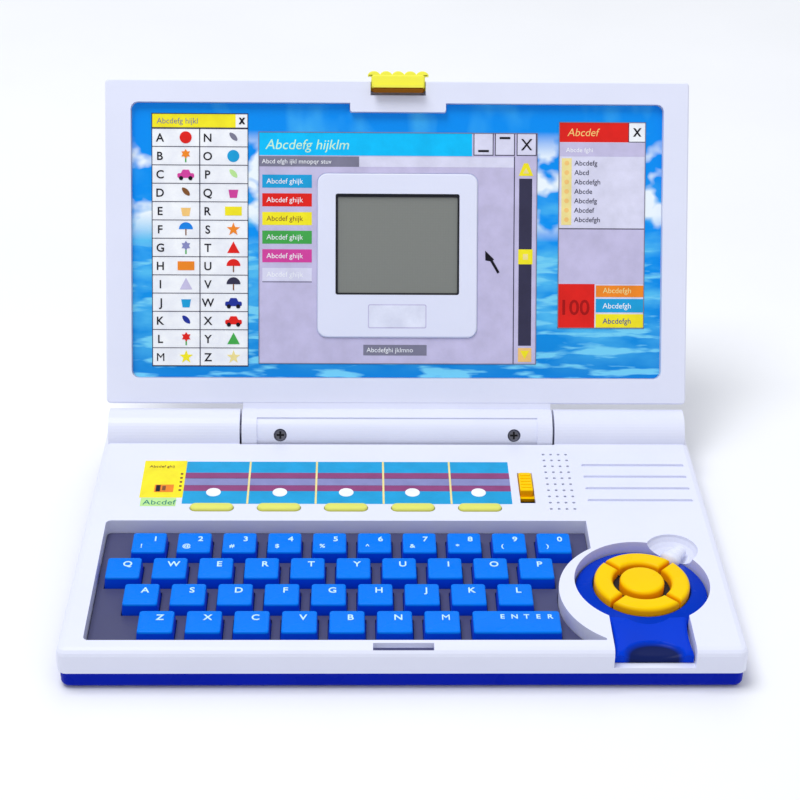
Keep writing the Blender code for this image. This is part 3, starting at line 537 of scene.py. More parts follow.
def key_cap(node):
    """Crisp-edged, slightly dished cap on a shaft that runs through the bed to its flange."""
    low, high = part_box(node)
    half_x = (high.x - low.x) / MM / 2 - KEY_FLANGE
    half_y = (high.y - low.y) / MM / 2 - KEY_FLANGE
    bottom = (low.z - high.z) / MM
    bed = (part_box("key_bed")[1].z - high.z) / MM

    def ring(z, inset, radius=1.1):
        return [(x, y, z) for x, y in centred_box(half_x - inset, half_y - inset, radius)]

    rings = [ring(bottom, -KEY_FLANGE), ring(bottom + FLANGE_HEIGHT, -KEY_FLANGE),
             ring(bottom + FLANGE_HEIGHT, 0.0), ring(bed, 0.0)]
    rings += [ring(z, inset) for z, inset in CAP_SIDE]
    rings += [ring(-drop, EDGE_START + inset, 1.0) for inset, drop in fillet(CAP_EDGE, 4)]
    rings += [ring(z, inset, 0.8) for z, inset in CAP_DISH]
    drawing = Drawing()
    # The cap's upper faces take the lit copy of the key blue, the lower ones the shaded copy:
    # painted light and shade.
    drawing.loft(rings, KEY_SKIRT_SHADED, (3 + len(CAP_SIDE), KEY_TOP_LIT))
    return drawing


def key_legend(label):
    """Raised letters of a key; a digit has a second sign under it."""
    if label == "ENTER":
        x, y, size = ENTER_AT
        spots = [(letter, (x + ENTER_STEP * step, y, size)) for step, letter in enumerate(label)]
    elif label.isdigit():
        spots = [(label, DIGIT_AT), (DIGIT_MARKS[label], MARK_AT)]
    else:
        spots = [(label, LETTER_AT)]
    drawing = Drawing()
    for letter, spot in spots:
        drawing.letters(letter, *spot, LEGEND_LOW, LEGEND_HIGH, LEGEND)
    return drawing


for node in sorted(frame["nodes"]):
    if not node.startswith("key_") or node == "key_bed":
        continue
    place = frame_at(node_centre(node))
    key_cap(node).finish("cap_" + node[4:], place, node, "key_blue", (node,))
    key_legend(node[4:].upper()).finish("legend_" + node[4:], place, node)


# ---- mouse ----
PAD_OUTER = 18.4
PAD_INNER = 11.2
PAD_SPLIT = 1.3
PAD_CENTRE = 8.6


def pad_outline(middle_deg, inset):
    """Quarter ring with straight gaps to its neighbours."""
    outer = PAD_OUTER - inset
    inner = PAD_INNER + inset
    outer_cut = math.degrees((PAD_SPLIT / 2 + inset) / outer)
    inner_cut = math.degrees((PAD_SPLIT / 2 + inset) / inner)
    outline = arc((0, 0), outer, middle_deg - 45 + outer_cut, middle_deg + 45 - outer_cut, 20)
    return outline + arc((0, 0), inner, middle_deg + 45 - inner_cut,
                         middle_deg - 45 + inner_cut, 14)


def mouse_pad(name, outline_of, edge):
    """Cushioned pad on its own body, as high as its CAD node."""
    node = "mouse_pad_" + name
    low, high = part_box(node)
    pad = Drawing()
    pad.pillow(outline_of, (low.z - HINGE.z) / MM, (high.z - HINGE.z) / MM, edge, YELLOW, 7)
    pad.finish("pad_" + name, MOUSE, node, "yellow_plastic", (node,))


for name, middle in (("right", 0), ("up", 90), ("left", 180), ("down", 270)):
    mouse_pad(name, lambda inset: pad_outline(middle, inset), 1.7)
mouse_pad("centre", lambda inset: disc(0, 0, PAD_CENTRE - inset, 48), 1.6)


SHELL_LOW, SHELL_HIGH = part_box("mouse_shell")
SHELL_FLOOR = (SHELL_LOW.z - HINGE.z) / MM
SHELL_RADIUS = (SHELL_HIGH.x - SHELL_LOW.x) / MM / 2
NECK_START = -19.0
NECK_HALF = 14.6
NECK_WAIST = 0.7  # how far the neck draws in on each side
FLANGE = -3.2  # height of the flange below the deck
SIDE_EDGE = 0.92  # shares of the neck's width and length where its edges roll down
FRONT_EDGE = 0.90


def neck_height(x, y):
    """Top of the mouse's neck: hollow between its edges and falling towards the front."""
    along = (NECK_START - y) / (NECK_START - NECK_FRONT)
    across = abs(x) / NECK_HALF
    fall, rise, sag = 0.8 * along, 0.75 * across ** 2, 0.45 * math.sin(math.pi * along)
    height = FLANGE + 0.15 - fall + rise - sag
    if across > SIDE_EDGE:
        height -= 0.7 * ((across - SIDE_EDGE) / (1 - SIDE_EDGE)) ** 2
    if along > FRONT_EDGE:
        height -= 0.9 * ((along - FRONT_EDGE) / (1 - FRONT_EDGE)) ** 2
    reach = math.hypot(x / SCOOP_HALF, (y - NECK_FRONT) / SCOOP_REACH)
    if reach < 1.0:
        height -= SCOOP_DEPTH * (1.0 - reach ** 2) ** 0.4
    return height


def mouse_body():
    """Flange round the pads and the neck that the hand holds, with its finger scoop."""
    drawing = Drawing()
    rim, bore = SHELL_RADIUS - 0.1, PAD_OUTER + 0.4
    rounding = ((rim, -2.0), (rim - 0.3, -1.4), (rim - 1.2, -1.0))
    collar = ((22.4, -0.3), (20.4, 0.5), (19.3, 0.9), (bore + 0.1, 0.75), (bore, 0.3))
    profile = [(radius, FLANGE + rise) for radius, rise in rounding + collar]
    # The flange takes the darker copy of the mouse blue as painted shade.
    drawing.turned([(bore, SHELL_FLOOR), (rim, SHELL_FLOOR)] + profile, MOUSE_RIM_SHADED)
    columns, rows = 48, 44
    rings = []
    for row in range(rows + 1):
        along = row / rows
        y = NECK_START + (NECK_FRONT - NECK_START) * along
        half = NECK_HALF - NECK_WAIST * math.sin(math.pi * along)
        ring = [(half, y, SHELL_FLOOR), (-half, y, SHELL_FLOOR)]
        for column in range(columns + 1):
            x = half * (2 * column / columns - 1)
            ring.append((x, y, neck_height(x * NECK_HALF / half, y)))
        rings.append(ring)
    drawing.loft(rings, MOUSE_BLUE)
    return drawing


mouse_body().finish("mouse_body", MOUSE, "mouse", "blue_plastic", ("mouse_shell",))


def pad_gap_shade():
    """Dark holder under the gaps between the pads: it puts painted shade in the gaps."""
    top, low = -3.3, SHELL_FLOOR + 1.0
    clear = 0.2
    inner, outer = PAD_CENTRE + clear, PAD_INNER - clear
    drawing = Drawing()
    drawing.turned(((inner, low), (outer, low), (outer, top), (inner, top)), DARK_PART_AND_SHADE, 64)
    half = PAD_SPLIT / 2 - clear
    for quarter in range(4):
        turn = Matrix.Rotation(math.radians(45 + 90 * quarter), 2)
        bar = rectangle(PAD_INNER - 0.6, PAD_OUTER - 0.4, -half, half)
        drawing.prism([turn @ Vector(corner) for corner in bar], low, top, DARK_PART_AND_SHADE)
    return drawing


pad_gap_shade().finish("pad_gap_shade", MOUSE, "mouse")


def lead_boot():
    """Ribbed sleeve that takes the mouse's lead, running outwards into the ear-shaped recess."""
    low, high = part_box("mouse_lead_boot")
    middle = (low + high) / 2 - MOUSE.translation
    heading = Vector((middle.x, middle.y, 0)).normalized()
    aside = Vector((-heading.y, heading.x, 0))
    start = Vector((middle.x / MM, middle.y / MM, -2.3))
    length, half_width, half_height, steps = 11.5, 4.7, 3.6, 40
    ribs, rib_start = 4, 0.4
    behind = 0.42  # share of the length that lies behind the node's middle
    rings = []
    for step in range(steps + 1):
        along = step / steps
        swell = math.sin(math.pi * min(along * 1.9 + 0.06, 0.5)) * (1.0 - 0.45 * along)
        if along > rib_start:
            wave = 2 * math.pi * ribs * (along - rib_start) / (1 - rib_start)
            swell *= 1.0 - 0.07 * (1 + math.cos(wave))
        if along > 0.97:
            swell *= 0.7
        centre = start + heading * length * (along - behind)
        rings.append([centre + aside * half_width * swell * x + UP * half_height * swell * y
                      for x, y in disc(0, 0, 1.0, 32)])
    drawing = Drawing()
    drawing.loft(rings, WHITE)
    return drawing


lead_boot().finish("lead_boot", MOUSE, "mouse", "white_plastic", ("mouse_lead_boot",))


# ---- controls on the deck ----
MODE_BUTTONS = ["mode_button_%d" % number for number in range(1, 6)]
MODE_HALF_X, MODE_HALF_Y, MODE_EDGE, MODE_HEIGHT = 8.7, 2.3, 0.9, 2.6
for node in MODE_BUTTONS:
    button = Drawing()
    button.pillow(lambda inset: centred_box(MODE_HALF_X - inset, MODE_HALF_Y - inset,
                                            MODE_HALF_Y - inset - 0.05, 6),
                  -MODE_HEIGHT, 0.0, MODE_EDGE, MODE_YELLOW)
    button.finish(node[5:], frame_at(node_centre(node)), node, "yellow_plastic", (node,))


def switch_knob():
    """Slide switch: a ribbed knob on the plate that runs under the deck."""
    low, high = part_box("slide_switch")
    plate_x, plate_y = (high.x - low.x) / MM / 2, (high.y - low.y) / MM / 2
    plate_margin, plate_top = 1.6, 1.4
    knob_x, knob_y = plate_x - plate_margin, plate_y - plate_margin
    ribs, rib_pitch, rib_half = 5, 2.2, 0.45
    rib_x = knob_x - 0.6
    bottom = (low.z - high.z) / MM
    drawing = Drawing()
    drawing.prism(centred_box(plate_x, plate_y, 0.6), bottom, bottom + plate_top, YELLOW)
    drawing.pillow(lambda inset: centred_box(knob_x - inset, knob_y - inset, 0.9),
                   bottom + plate_top - 0.1, -0.35, 0.6, YELLOW)
    for step in range(ribs):
        y = rib_pitch * (step - (ribs - 1) / 2)
        drawing.pillow(lambda inset: rounded(inset - rib_x, rib_x - inset, y - rib_half + inset,
                                             y + rib_half - inset, 0.2), -1.2, 0.0, 0.25, YELLOW, 3)
    return drawing


switch_knob().finish("switch_knob", frame_at(node_centre("slide_switch")), "slide_switch",
                     "yellow_plastic", ("slide_switch",))


LATCH_LOW, LATCH_HIGH = 146.0, 154.6
HOOK_HALF = 10.6


def lobed_grip(inset):
    """Outline of the latch's grip: straight below, five lobes above."""
    half, low, lobes, steps, depth = 13.0, 152.4, 5, 10, 1.5
    outline = [(inset - half, low + inset), (half - inset, low + inset)]
    for step in range(lobes * steps + 1):
        x = (half - inset) * (1 - 2 * step / (lobes * steps))
        swell = abs(math.sin(math.pi * step / steps)) ** 0.6
        outline.append((x, LATCH_HIGH - inset - depth * (1 - swell)))
    return outline


def latch_piece():
    """Latch drawn in the lid's frame: a rounded slider, its hook and a wide grip with a lobed top.
    Its lower side, the lower strip of the hook's end and the toe are painted dark amber as shade."""
    low, half = LATCH_LOW, 11.5
    drawing = Drawing()
    drawing.pillow(lambda inset: rounded(inset - half, half - inset, low + 1.2 + inset,
                                         153.2 - inset, 0.9), -4.9, -0.3, 1.1, LATCH_YELLOW)
    # Lower body of the slider in the amber painted shade.
    drawing.pillow(lambda inset: rounded(inset - half, half - inset, low + inset, low + 2.6, 0.6),
                   -4.9, -1.7, 0.5, LATCH_SHADE)
    drawing.prism(rectangle(-12.4, 12.4, low + 0.4, low + 2.6), -3.3, -2.1, LATCH_YELLOW)
    drawing.pillow(lobed_grip, -4.4, -0.7, 0.5, LATCH_YELLOW)
    # The hook's end: a lower strip of painted amber shade, an upper strip of the latch's yellow.
    for start, end, material in ((0.4, 1.0, LATCH_SHADE), (1.0, 2.0, LATCH_YELLOW)):
        hook = rectangle(-HOOK_HALF, HOOK_HALF, low + start, low + end)
        drawing.prism(hook, -2.4, 4.8, material)
    # Toe, painted amber as shade.
    toe = ((1.0, 2.8), (1.0, 4.8), (0.2, 4.8), (-1.0, 3.6), (-1.0, 2.8))
    drawing.loft([[(x, low + y, z) for y, z in toe] for x in (-HOOK_HALF, HOOK_HALF)], LATCH_SHADE)
    return drawing


latch_piece().finish("latch_slider", LID, "latch", "yellow_plastic", ("latch",))


catch = Drawing()
catch.prism(rectangle(-HOOK_HALF - 1.0, HOOK_HALF + 1.0, -148.8, -144.7), -5.7, -5.1, WHITE)
catch.finish("catch_floor", DECK, "base")


# ---- screws ----
SCREW_DEPTH = 1.6
SCREW_EDGE = 0.6
CROSS_REACH = 0.62  # length of the recess, as a share of the head
CROSS_HALF = 0.42
CROSS_DEPTH = 0.9
TURNED_OVER = Matrix.Rotation(math.pi, 4, "Y")


def cut_with(piece, drawing, place):
    """Cuts a drawing out of a piece for good."""
    cutter = add_object("cutter", drawing.to_mesh("cutter"), place)
    modifier = piece.modifiers.new("Cut", "BOOLEAN")
    modifier.operation = "DIFFERENCE"
    modifier.material_mode = "TRANSFER"
    modifier.object = cutter
    bpy.context.view_layer.update()
    result = final_mesh(piece)
    piece.modifiers.clear()
    piece.data = result
    bpy.data.objects.remove(cutter)


def screw(name, place, body, radius):
    """Pan-head screw with a cross recess."""
    drawing = Drawing()
    rings = [[(x, y, -SCREW_DEPTH) for x, y in disc(0, 0, radius, 32)]]
    for inset, drop in fillet(SCREW_EDGE, 4):
        rings.append([(x, y, -drop) for x, y in disc(0, 0, radius - inset, 32)])
    drawing.loft(rings, SCREW)
    piece = drawing.finish(name, place, body)
    reach = radius * CROSS_REACH
    for turn in (0, 90):
        bar = Drawing()
        # The cutter's dark material stays on the recess walls as painted shade.
        bar.prism(rectangle(-reach, reach, -CROSS_HALF, CROSS_HALF), -CROSS_DEPTH, 0.4, DARK_PART_AND_SHADE)
        cut_with(piece, bar, place @ Matrix.Rotation(math.radians(turn), 4, "Z"))


def on(body_frame, x, y, z):
    """Place at a spot given in millimetres in a body's frame."""
    return body_frame @ Matrix.Translation(Vector((x, y, z)) * MM)


LID_SCREWS = [(x, y) for y in (20.0, 142.5) for x in (-116.5, 116.5)]
BASE_SCREWS = ((-109, -62), (109, -62), (-58, -139), (58, -139), (0, -62))
screw("hinge_screw_left", on(LID, -50.0, -1.0, 7.6), "lid", 2.6)
screw("hinge_screw_right", on(LID, 50.0, -1.0, 7.6), "lid", 2.6)
for number, (x, y) in enumerate(LID_SCREWS, 1):
    screw("lid_screw_%d" % number, on(LID, x, y, -10.7) @ TURNED_OVER, "lid", 2.6)
for number, (x, y) in enumerate(BASE_SCREWS, 1):
    screw("base_screw_%d" % number, on(DECK, x, y, -17.0) @ TURNED_OVER, "base", 2.8)
door_low, door_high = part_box("battery_door")
door_spot = Vector((0.0, door_high.y - 4.5 * MM, door_low.z - 0.3 * MM))
screw("door_screw", frame_at(door_spot) @ TURNED_OVER, "base", 1.9)


# ---- printed card in the lid ----
CARD_FLOOR = -3.5
CARD_TOP = -3.15
LAYER = 0.05
INKS = {
    "white": (246, 247, 253), "black": (22, 20, 30), "yellow": (252, 234, 40),
    "red": (228, 36, 30), "blue": (26, 132, 226), "green": (70, 170, 78),
    "pink": (216, 70, 158), "orange": (244, 138, 40), "teal": (30, 160, 215),
    "lilac": (200, 193, 224), "pale": (222, 220, 240), "grey": (128, 126, 146),
    "title_blue": (10, 192, 250), "track": (56, 54, 78), "maroon": (144, 70, 122),
    "violet": (138, 140, 190), "cream": (244, 226, 150), "peach": (250, 200, 120),
    "brown": (132, 84, 46), "navy": (36, 52, 150), "lime": (190, 232, 150),
    "mint": (206, 246, 214), "dark_red": (170, 20, 20), "sea": (30, 130, 120),
    "shell_white": (231, 233, 250),
}
INK = {name: ink("ink_" + name, srgb(*colour)) for name, colour in INKS.items()}


class Print(Drawing):
    """Layers of print on a flat surface; each layer lies a hair above the one under it."""

    def __init__(self, surface):
        super().__init__()
        self.surface = surface

    def levels(self, layer):
        return self.surface - 0.1, self.surface + LAYER * layer

    def outline(self, points, colour, layer):
        self.prism(points, *self.levels(layer), INK[colour])

    def block(self, x0, x1, y0, y1, colour, layer=1):
        self.outline(rectangle(x0, x1, y0, y1), colour, layer)

    def frame_lines(self, x0, x1, y0, y1, line, colour, layer):
        """Thin lines round a box."""
        self.block(x0, x1, y0, y0 + line, colour, layer)
        self.block(x0, x1, y1 - line, y1, colour, layer)
        self.block(x0, x0 + line, y0, y1, colour, layer)
        self.block(x1 - line, x1, y0, y1, colour, layer)

    def write(self, words, x, y, size, colour, layer=3, centred=False, slant=0.0):
        self.letters(words, x, y, size, *self.levels(layer), INK[colour], centred, slant)

    def cross(self, x, y, size, layer=3):
        """Two crossed strokes."""
        weight = 0.9
        for sign in (-1, 1):
            stroke = [(x - size, y - sign * size), (x - size + weight, y - sign * size),
                      (x + size, y + sign * size), (x + size - weight, y + sign * size)]
            self.outline(stroke, "black", layer + (sign + 1) // 2)


def ball_icon(sheet, x, y, colour):
    sheet.outline(disc(x, y, 2.6, 20), colour, 3)


def star_icon(sheet, x, y, colour):
    sheet.outline(star(x, y, 3.0), colour, 3)


def block_icon(sheet, x, y, colour):
    sheet.block(x - 3.6, x + 3.6, y - 1.9, y + 1.9, colour, 3)


def triangle_icon(sheet, x, y, colour):
    sheet.outline([(x - 2.7, y - 2.3), (x + 2.7, y - 2.3), (x, y + 2.7)], colour, 3)


def car_icon(sheet, x, y, colour):
    sheet.outline(rounded(x - 3.6, x + 3.6, y - 1.6, y + 0.4, 0.6, 2), colour, 3)
    roof = [(x - 2.2, y + 0.2), (x + 2.2, y + 0.2), (x + 1.3, y + 1.9), (x - 1.3, y + 1.9)]
    sheet.outline(roof, colour, 4)
    for side in (-1, 1):
        sheet.outline(disc(x + side * 2.0, y - 1.7, 0.9, 12), "black", 5)


def flower_icon(sheet, x, y, colour):
    sheet.block(x - 0.3, x + 0.3, y - 2.8, y, "green", 3)
    sheet.outline(star(x, y + 0.8, 2.1, 6, 0.6), colour, 4)


def leaf_icon(sheet, x, y, colour):
    lower = arc((x - 1.6, y - 1.2), 3.4, -10, 100, 8)[1:-1]
    upper = arc((x + 1.7, y + 2.0), 3.4, 170, 280, 8)[1:-1]
    sheet.outline(lower + upper, colour, 3)


def cup_icon(sheet, x, y, colour):
    body = [(x - 1.5, y - 2.2), (x + 1.5, y - 2.2), (x + 2.2, y + 2.0), (x - 2.2, y + 2.0)]
    sheet.outline(body, colour, 3)
    sheet.block(x - 2.3, x + 2.3, y + 1.3, y + 2.1, "white", 4)


def umbrella_icon(sheet, x, y, colour):
    sheet.outline(arc((x, y), 3.0, 0, 180, 12), colour, 3)
    sheet.block(x - 0.25, x + 0.25, y - 2.6, y + 0.1, "brown", 4)


ICONS = (
    (ball_icon, "red"), (flower_icon, "orange"), (car_icon, "pink"), (leaf_icon, "brown"),
    (cup_icon, "peach"), (umbrella_icon, "blue"), (flower_icon, "violet"), (block_icon, "orange"),
    (triangle_icon, "lilac"), (cup_icon, "teal"), (leaf_icon, "navy"), (flower_icon, "red"),
    (star_icon, "yellow"), (leaf_icon, "grey"), (ball_icon, "teal"), (leaf_icon, "lime"),
    (cup_icon, "pink"), (block_icon, "yellow"), (star_icon, "orange"), (triangle_icon, "red"),
    (umbrella_icon, "red"), (umbrella_icon, "track"), (car_icon, "navy"), (car_icon, "red"),
    (triangle_icon, "green"), (star_icon, "cream"),
)


def recess_outline(gap):
    """The card's recess with the latch's tab at its top, drawn in by a gap."""
    half, low, high = 114.2 - gap, 23.0 + gap, 141.0 - gap
    outline = rounded(-half, half, low, high, 3.0, 6)
    top_left = len(outline) // 2
    tab_half, tab_low, tab_round = 20.5 + gap, high - 3.8, 1.0
    x, y = tab_half - tab_round, tab_low + tab_round
    tab = [(tab_half, high)] + arc((x, y), tab_round, 0, -90, 4)
    tab += arc((-x, y), tab_round, -90, -180, 4) + [(-tab_half, high)]
    return outline[:top_left] + tab + outline[top_left:]


CARD_GAP = 0.25  # play round the card and round the display's surround
SURROUND_HALF, SURROUND_LOW, SURROUND_HIGH = 34.4, 40.6, 111.0
SURROUND_HOLE = rounded(-SURROUND_HALF - CARD_GAP, SURROUND_HALF + CARD_GAP,
                        SURROUND_LOW - CARD_GAP, SURROUND_HIGH + CARD_GAP, 4.2, 6)
TITLE_SLANT = 0.2


def card_sky():
    """The card itself, with the display's surround standing through it."""
    drawing = Drawing()
    outlines = [recess_outline(CARD_GAP), SURROUND_HOLE]
    drawing.plate(outlines, CARD_FLOOR + 0.02, CARD_TOP, SKY)
    return drawing


def alphabet_list():
    """Window with the letters in two columns, each beside its picture."""
    left, right, low, high = -105.6, -64.2, 28.0, 136.4
    title, close = 130.0, -69.6  # lower edge of the title, left edge of its cross
    divider, line, rows = -85.0, 0.15, 13
    columns = ((-102.0, -91.0), (-81.6, -70.6))  # x of the letter and of its picture
    sheet = Print(CARD_TOP)
    sheet.block(left, right, low, high, "white")
    sheet.block(left, close, title, high, "yellow", 2)
    sheet.write(wording(7, 5), left + 2.2, title + 2.0, 2.5, "grey")
    sheet.cross((close + right) / 2, (title + high) / 2, 1.4)
    sheet.frame_lines(left, right, title, high, 0.35, "track", 3)
    sheet.frame_lines(left, right, low, title, 0.3, "track", 3)
    sheet.block(divider - 0.2, divider + 0.2, low, title, "track", 3)
    pitch = (title - low) / rows
    for row in range(rows):
        edge = title - pitch * (row + 1)
        middle = edge + pitch / 2
        sheet.block(left, right, edge - line, edge + line, "track", 3)
        for column, (letter_x, icon_x) in enumerate(columns):
            number = row + rows * column
            sheet.write(chr(ord("A") + number), letter_x, middle - 1.8, 3.6, "black", centred=True)
            icon, colour = ICONS[number]
            icon(sheet, icon_x, middle, colour)
    return sheet


def window_buttons(sheet, low, high):
    """The three buttons at the right of a title: a low bar, a high bar and a cross."""
    width, bar_width, bar_height = 8.6, 4.6, 0.9
    for number, x in enumerate((32.6, 41.8, 51.2)):
        sheet.block(x, x + width, low + 0.3, high, "pale", 2)
        sheet.frame_lines(x, x + width, low + 0.3, high, 0.35, "track", 3)
        if number < 2:
            y = low + 1.8 + 5.6 * number
            sheet.block(x + 2.0, x + 2.0 + bar_width, y, y + bar_height, "black", 4)
        else:
            sheet.cross(x + width / 2, low + 5.1, 2.4, 4)


def scroll_bar(sheet, x):
    """Track with an arrow above, a slider, and a button with an arrow below."""
    sheet.block(x - 2.9, x + 2.7, 37.2, 109.2, "track", 2)
    arrow = [(x - 3.1, 110.4), (x + 3.1, 110.4), (x + 0.9, 115.8), (x - 0.9, 115.8)]
    sheet.outline(arrow, "yellow", 3)
    sheet.outline([(x - 1.3, 111.4), (x + 1.3, 111.4), (x, 113.8)], "cream", 4)
    sheet.block(x - 3.1, x + 3.1, 72.4, 78.8, "yellow", 3)
    sheet.block(x - 1.1, x + 1.1, 74.4, 76.8, "cream", 4)
    sheet.block(x - 2.9, x + 2.9, 30.2, 36.2, "peach", 3)
    sheet.outline([(x - 1.9, 35.0), (x, 31.4), (x + 1.9, 35.0)], "yellow", 4)


def pointer(sheet, x, y):
    """Slanted arrow with its tip at a spot."""
    head = [(x, y), (x + 3.9, y - 3.8), (x + 2.3, y - 4.6), (x + 0.1, y - 4.2)]
    shaft = [(x + 1.9, y - 4.0), (x + 3.0, y - 3.6), (x + 6.3, y - 9.3), (x + 5.3, y - 9.8)]
    sheet.outline(head, "black", 3)
    sheet.outline(shaft, "black", 4)


def main_window():
    """Large window round the display, with a title, menus and a scroll bar."""
    left, right, low, high = -59.8, 60.2, 29.1, 128.7
    title, menu, menu_end = 118.7, 113.9, -16.6
    menu_top = title - 0.4
    button_left, button_right, button_top, pitch = -58.2, -36.9, 104.8, 8.0
    sheet = Print(CARD_TOP)
    sheet.plate([rectangle(left, right, low, high), SURROUND_HOLE], *sheet.levels(1), INK["lilac"])
    sheet.block(left, 32.0, title, high, "title_blue", 2)
    sheet.write(wording(7, 6), left + 2.9, title + 2.6, 4.4, "mint", slant=TITLE_SLANT)
    window_buttons(sheet, title, high)
    sheet.block(left, menu_end, menu, menu_top, "grey", 2)
    sheet.write(wording(4, 4, 4, 6, 4), left + 1.4, menu + 1.3, 2.0, "white")
    sheet.block(menu_end, 50.0, menu, menu_top, "pale", 2)
    for number, colour in enumerate(("teal", "red", "yellow", "green", "pink", "pale")):
        y = button_top - pitch * number
        sheet.block(button_left, button_right, y, y + 5.6, colour, 2)
        lettering = "brown" if colour == "yellow" else "white"
        sheet.write(wording(6, 5), button_left + 1.8, y + 1.8, 2.3, lettering)
    sheet.block(button_left, button_right, 64.2, 64.6, "grey", 2)
    sheet.block(-14.6, 12.8, 32.8, 37.4, "grey", 2)
    sheet.write(wording(9, 6), -13.2, 34.2, 2.1, "white")
    sheet.block(50.1, 50.5, low, title, "track", 2)
    scroll_bar(sheet, 55.3)
    pointer(sheet, 37.9, 78.2)
    sheet.frame_lines(left, right, low, high, 0.3, "grey", 5)
    return sheet


def word_window():
    """Narrow window with a list of words, a score and three buttons."""
    left, right, low, high = 69.4, 106.9, 44.8, 133.6
    title, close = 125.0, 99.4  # lower edge of the title, left edge of its cross
    score_top, score_right = 64.0, 85.4
    list_top, line_pitch = 115.0, 4.05
    sheet = Print(CARD_TOP)
    sheet.block(left, right, low, high, "pale")
    sheet.block(left, close, title, high, "red", 2)
    sheet.write(wording(6), left + 3.6, title + 2.6, 3.4, "peach", slant=TITLE_SLANT)
    sheet.block(close, right, title, high, "white", 2)
    sheet.cross(close + 3.8, (title + high) / 2, 1.8)
    sheet.frame_lines(close, right, title, high, 0.3, "track", 3)
    sheet.block(left, right, 118.9, title - 0.2, "lilac", 2)
    sheet.write(wording(5, 4), 72.5, 120.7, 2.0, "white")
    sheet.block(70.7, 75.0, 89.4, 118.1, "cream", 2)
    for row, length in enumerate((7, 4, 8, 5, 7, 6, 8)):
        y = list_top - line_pitch * row
        sheet.outline(disc(72.9, y + 1.0, 1.0, 12), "peach", 3)
        sheet.write(wording(length), 76.2, y, 2.2, "track")
    sheet.block(left, right, score_top, 87.7, "lilac", 2)
    sheet.block(left, right, 87.6, 88.0, "track", 3)
    sheet.block(left, score_right, low, score_top, "red", 3)
    sheet.write("100", (left + score_right) / 2, 50.8, 6.6, "dark_red", 4, centred=True)
    for y0, y1, colour, lettering in ((58.4, 63.4, "orange", "cream"),
                                      (51.8, 57.6, "teal", "white"),
                                      (45.2, 51.0, "yellow", "navy")):
        sheet.block(86.0, 106.6, y0, y1, colour, 3)
        sheet.write(wording(8), 89.0, y0 + 1.7, 2.4, lettering, 4)
    sheet.frame_lines(left, right, low, high, 0.3, "grey", 5)
    return sheet


def display_gasket_and_shadow():
    """Dark edge of the display, widest along its top and a little wider on the left: partly a dark
    gasket, partly painted shadow of the recess's edge.
    """
    half, low, high = 26.4, 59.3, 102.1
    drawing = Drawing()
    opening = rounded(0.7 - half, half - 0.5, low + 0.5, high - 1.1, 0.4)
    drawing.plate([rounded(-half, half, low, high, 0.6), opening], -3.68, -3.2, DARK_PART_AND_SHADE)
    return drawing


def surround_label():
    """Plain label under the display, with a thin outline."""
    half, low, high, line = 12.6, 44.6, 54.9, 0.4
    sheet = Print(-2.1)
    sheet.outline(rounded(-half, half, low, high, 0.8), "lilac", 1)
    sheet.outline(rounded(line - half, half - line, low + line, high - line, 0.6), "shell_white", 2)
    return sheet


card_sky().finish("card_sky", LID, "lid")
alphabet_list().finish("card_alphabet", LID, "lid")
main_window().finish("card_window", LID, "lid")
word_window().finish("card_side_window", LID, "lid")
display_gasket_and_shadow().finish("display_gasket_and_shadow", LID, "lid")
surround_label().finish("surround_label", LID, "lid")


# ---- label strip on the deck ----
def deck_label():
    """Strip behind the mode buttons: five fields with a dot each, and a title at its left."""
    left, right, low, high = -88.4, 46.2, -55.2, -24.0
    sheet = Print(0.0)
    sheet.block(-106.0, left, -50.8, -23.4, "yellow")
    sheet.block(left, right, low, high, "teal")
    for y0, y1, colour in ((-41.9, -36.6, "violet"), (-36.8, -32.5, "maroon"),
                           (-46.0, -41.8, "maroon")):
        sheet.block(left, right, y0, y1, colour, 2)
    for x in (-61.8, -34.0, -6.3, 21.4):
        sheet.block(x - 0.4, x + 0.4, low, high, "cream", 3)
    for node in MODE_BUTTONS:
        x = (node_centre(node).x - HINGE.x) / MM
        sheet.outline(disc(x, -47.0, 3.0), "white", 4)
    sheet.write(wording(6, 4), -103.8, -28.6, 1.7, "brown")
    sheet.block(-100.4, -92.6, -46.8, -41.4, "orange", 2)
    sheet.block(-99.8, -98.0, -46.4, -41.8, "black", 3)
    sheet.block(-97.2, -95.8, -45.6, -42.4, "brown", 3)
    for step in range(5):
        y = -46.0 + 3.0 * step
        sheet.block(-90.4, -89.4, y, y + 1.2, "brown", 3)
    sheet.block(-105.2, -90.8, -57.0, -51.0, "lime")
    sheet.write(wording(6), -104.2, -55.8, 3.4, "sea", 2)
    return sheet


deck_label().finish("deck_label", DECK, "base")


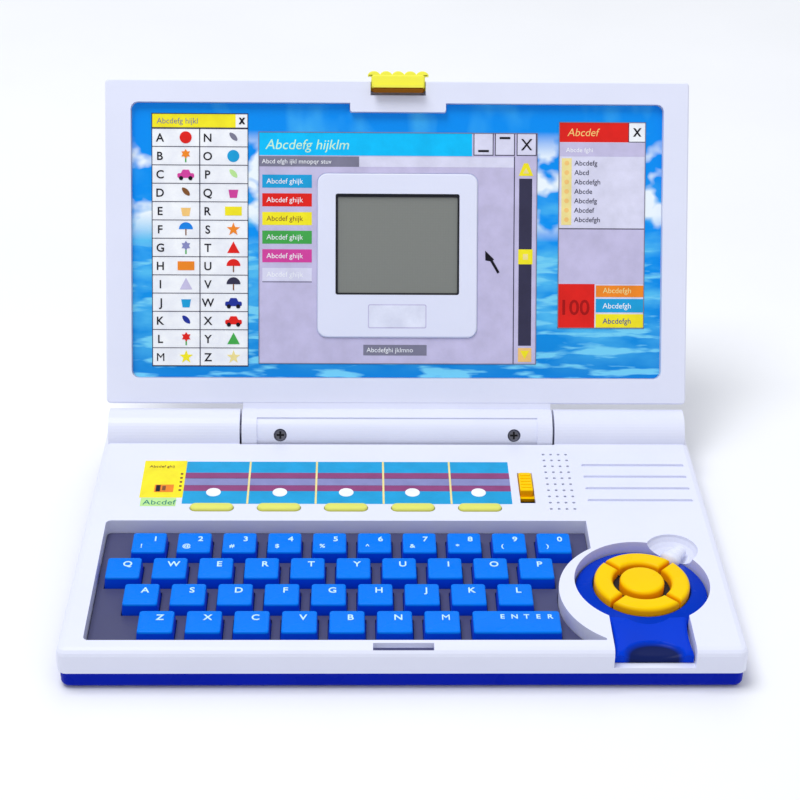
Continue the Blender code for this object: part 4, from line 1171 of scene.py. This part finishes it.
# ---- floor, light and camera ----
STUDIO_TINT = (0.94, 0.965, 1.0)
LIGHT_TARGET = Vector((0, 0, 0.05))
LIGHTS = (  # name, place, size in metres and power in watts
    ("key_light", (-0.42, -0.12, 1.7), 0.8, 17.0),
    ("fill_light", (1.1, -0.9, 1.0), 1.0, 1.8),
    ("back_light", (0.2, 1.1, 1.3), 1.0, 2.5),
)
WORLD_STRENGTH = 0.56
CAMERA_PLACE = (-0.0175, -0.6557, 0.4542)
CAMERA_PITCH = 31.301  # degrees below the horizon; the yaw is to the right
CAMERA_YAW = 1.544
CAMERA_ROLL = 0.951
CAMERA_LENS = 85.1


def floor():
    """Pale floor that reaches past the edges of the picture."""
    mesh = bpy.data.meshes.new("floor")
    reach = 4.0
    corners = [(x, y, 0) for x, y in rectangle(-reach, reach, -reach, reach)]
    mesh.from_pydata(corners, [], [(0, 1, 2, 3)])
    nodes = Nodes("floor_pale")
    pale = nodes.ramp(nodes.noise(6.0), ((0.3, srgb(246, 246, 248)), (0.7, srgb(250, 250, 252))))
    nodes.feed(nodes.shader, {"Base Color": pale, "Roughness": 0.7})
    mesh.materials.append(nodes.material)
    item = add_object("floor", mesh)


def area_light(name, place, size, power):
    light = bpy.data.lights.new(name, "AREA")
    light.size = size
    light.energy = power
    light.color = STUDIO_TINT
    item = add_object(name, light)
    item.location = place
    item.rotation_euler = (LIGHT_TARGET - Vector(place)).to_track_quat("-Z", "Y").to_euler()


def studio_world():
    world = bpy.data.worlds.new("studio")
    world.use_nodes = True
    background = world.node_tree.nodes["Background"]
    background.inputs["Color"].default_value = (*STUDIO_TINT, 1.0)
    background.inputs["Strength"].default_value = WORLD_STRENGTH
    bpy.context.scene.world = world
    bpy.context.scene.view_settings.view_transform = "Standard"


def camera():
    """Camera that looks down at the open laptop from in front."""
    data = bpy.data.cameras.new("camera")
    data.lens = CAMERA_LENS
    turn = Matrix.Rotation(-math.radians(CAMERA_YAW), 4, "Z")
    tip = Matrix.Rotation(math.pi / 2 - math.radians(CAMERA_PITCH), 4, "X")
    roll = Matrix.Rotation(math.radians(CAMERA_ROLL), 4, "Z")
    item = add_object("camera", data, Matrix.Translation(CAMERA_PLACE) @ turn @ tip @ roll)
    bpy.context.scene.camera = item


floor()
for light in LIGHTS:
    area_light(*light)
studio_world()
camera()
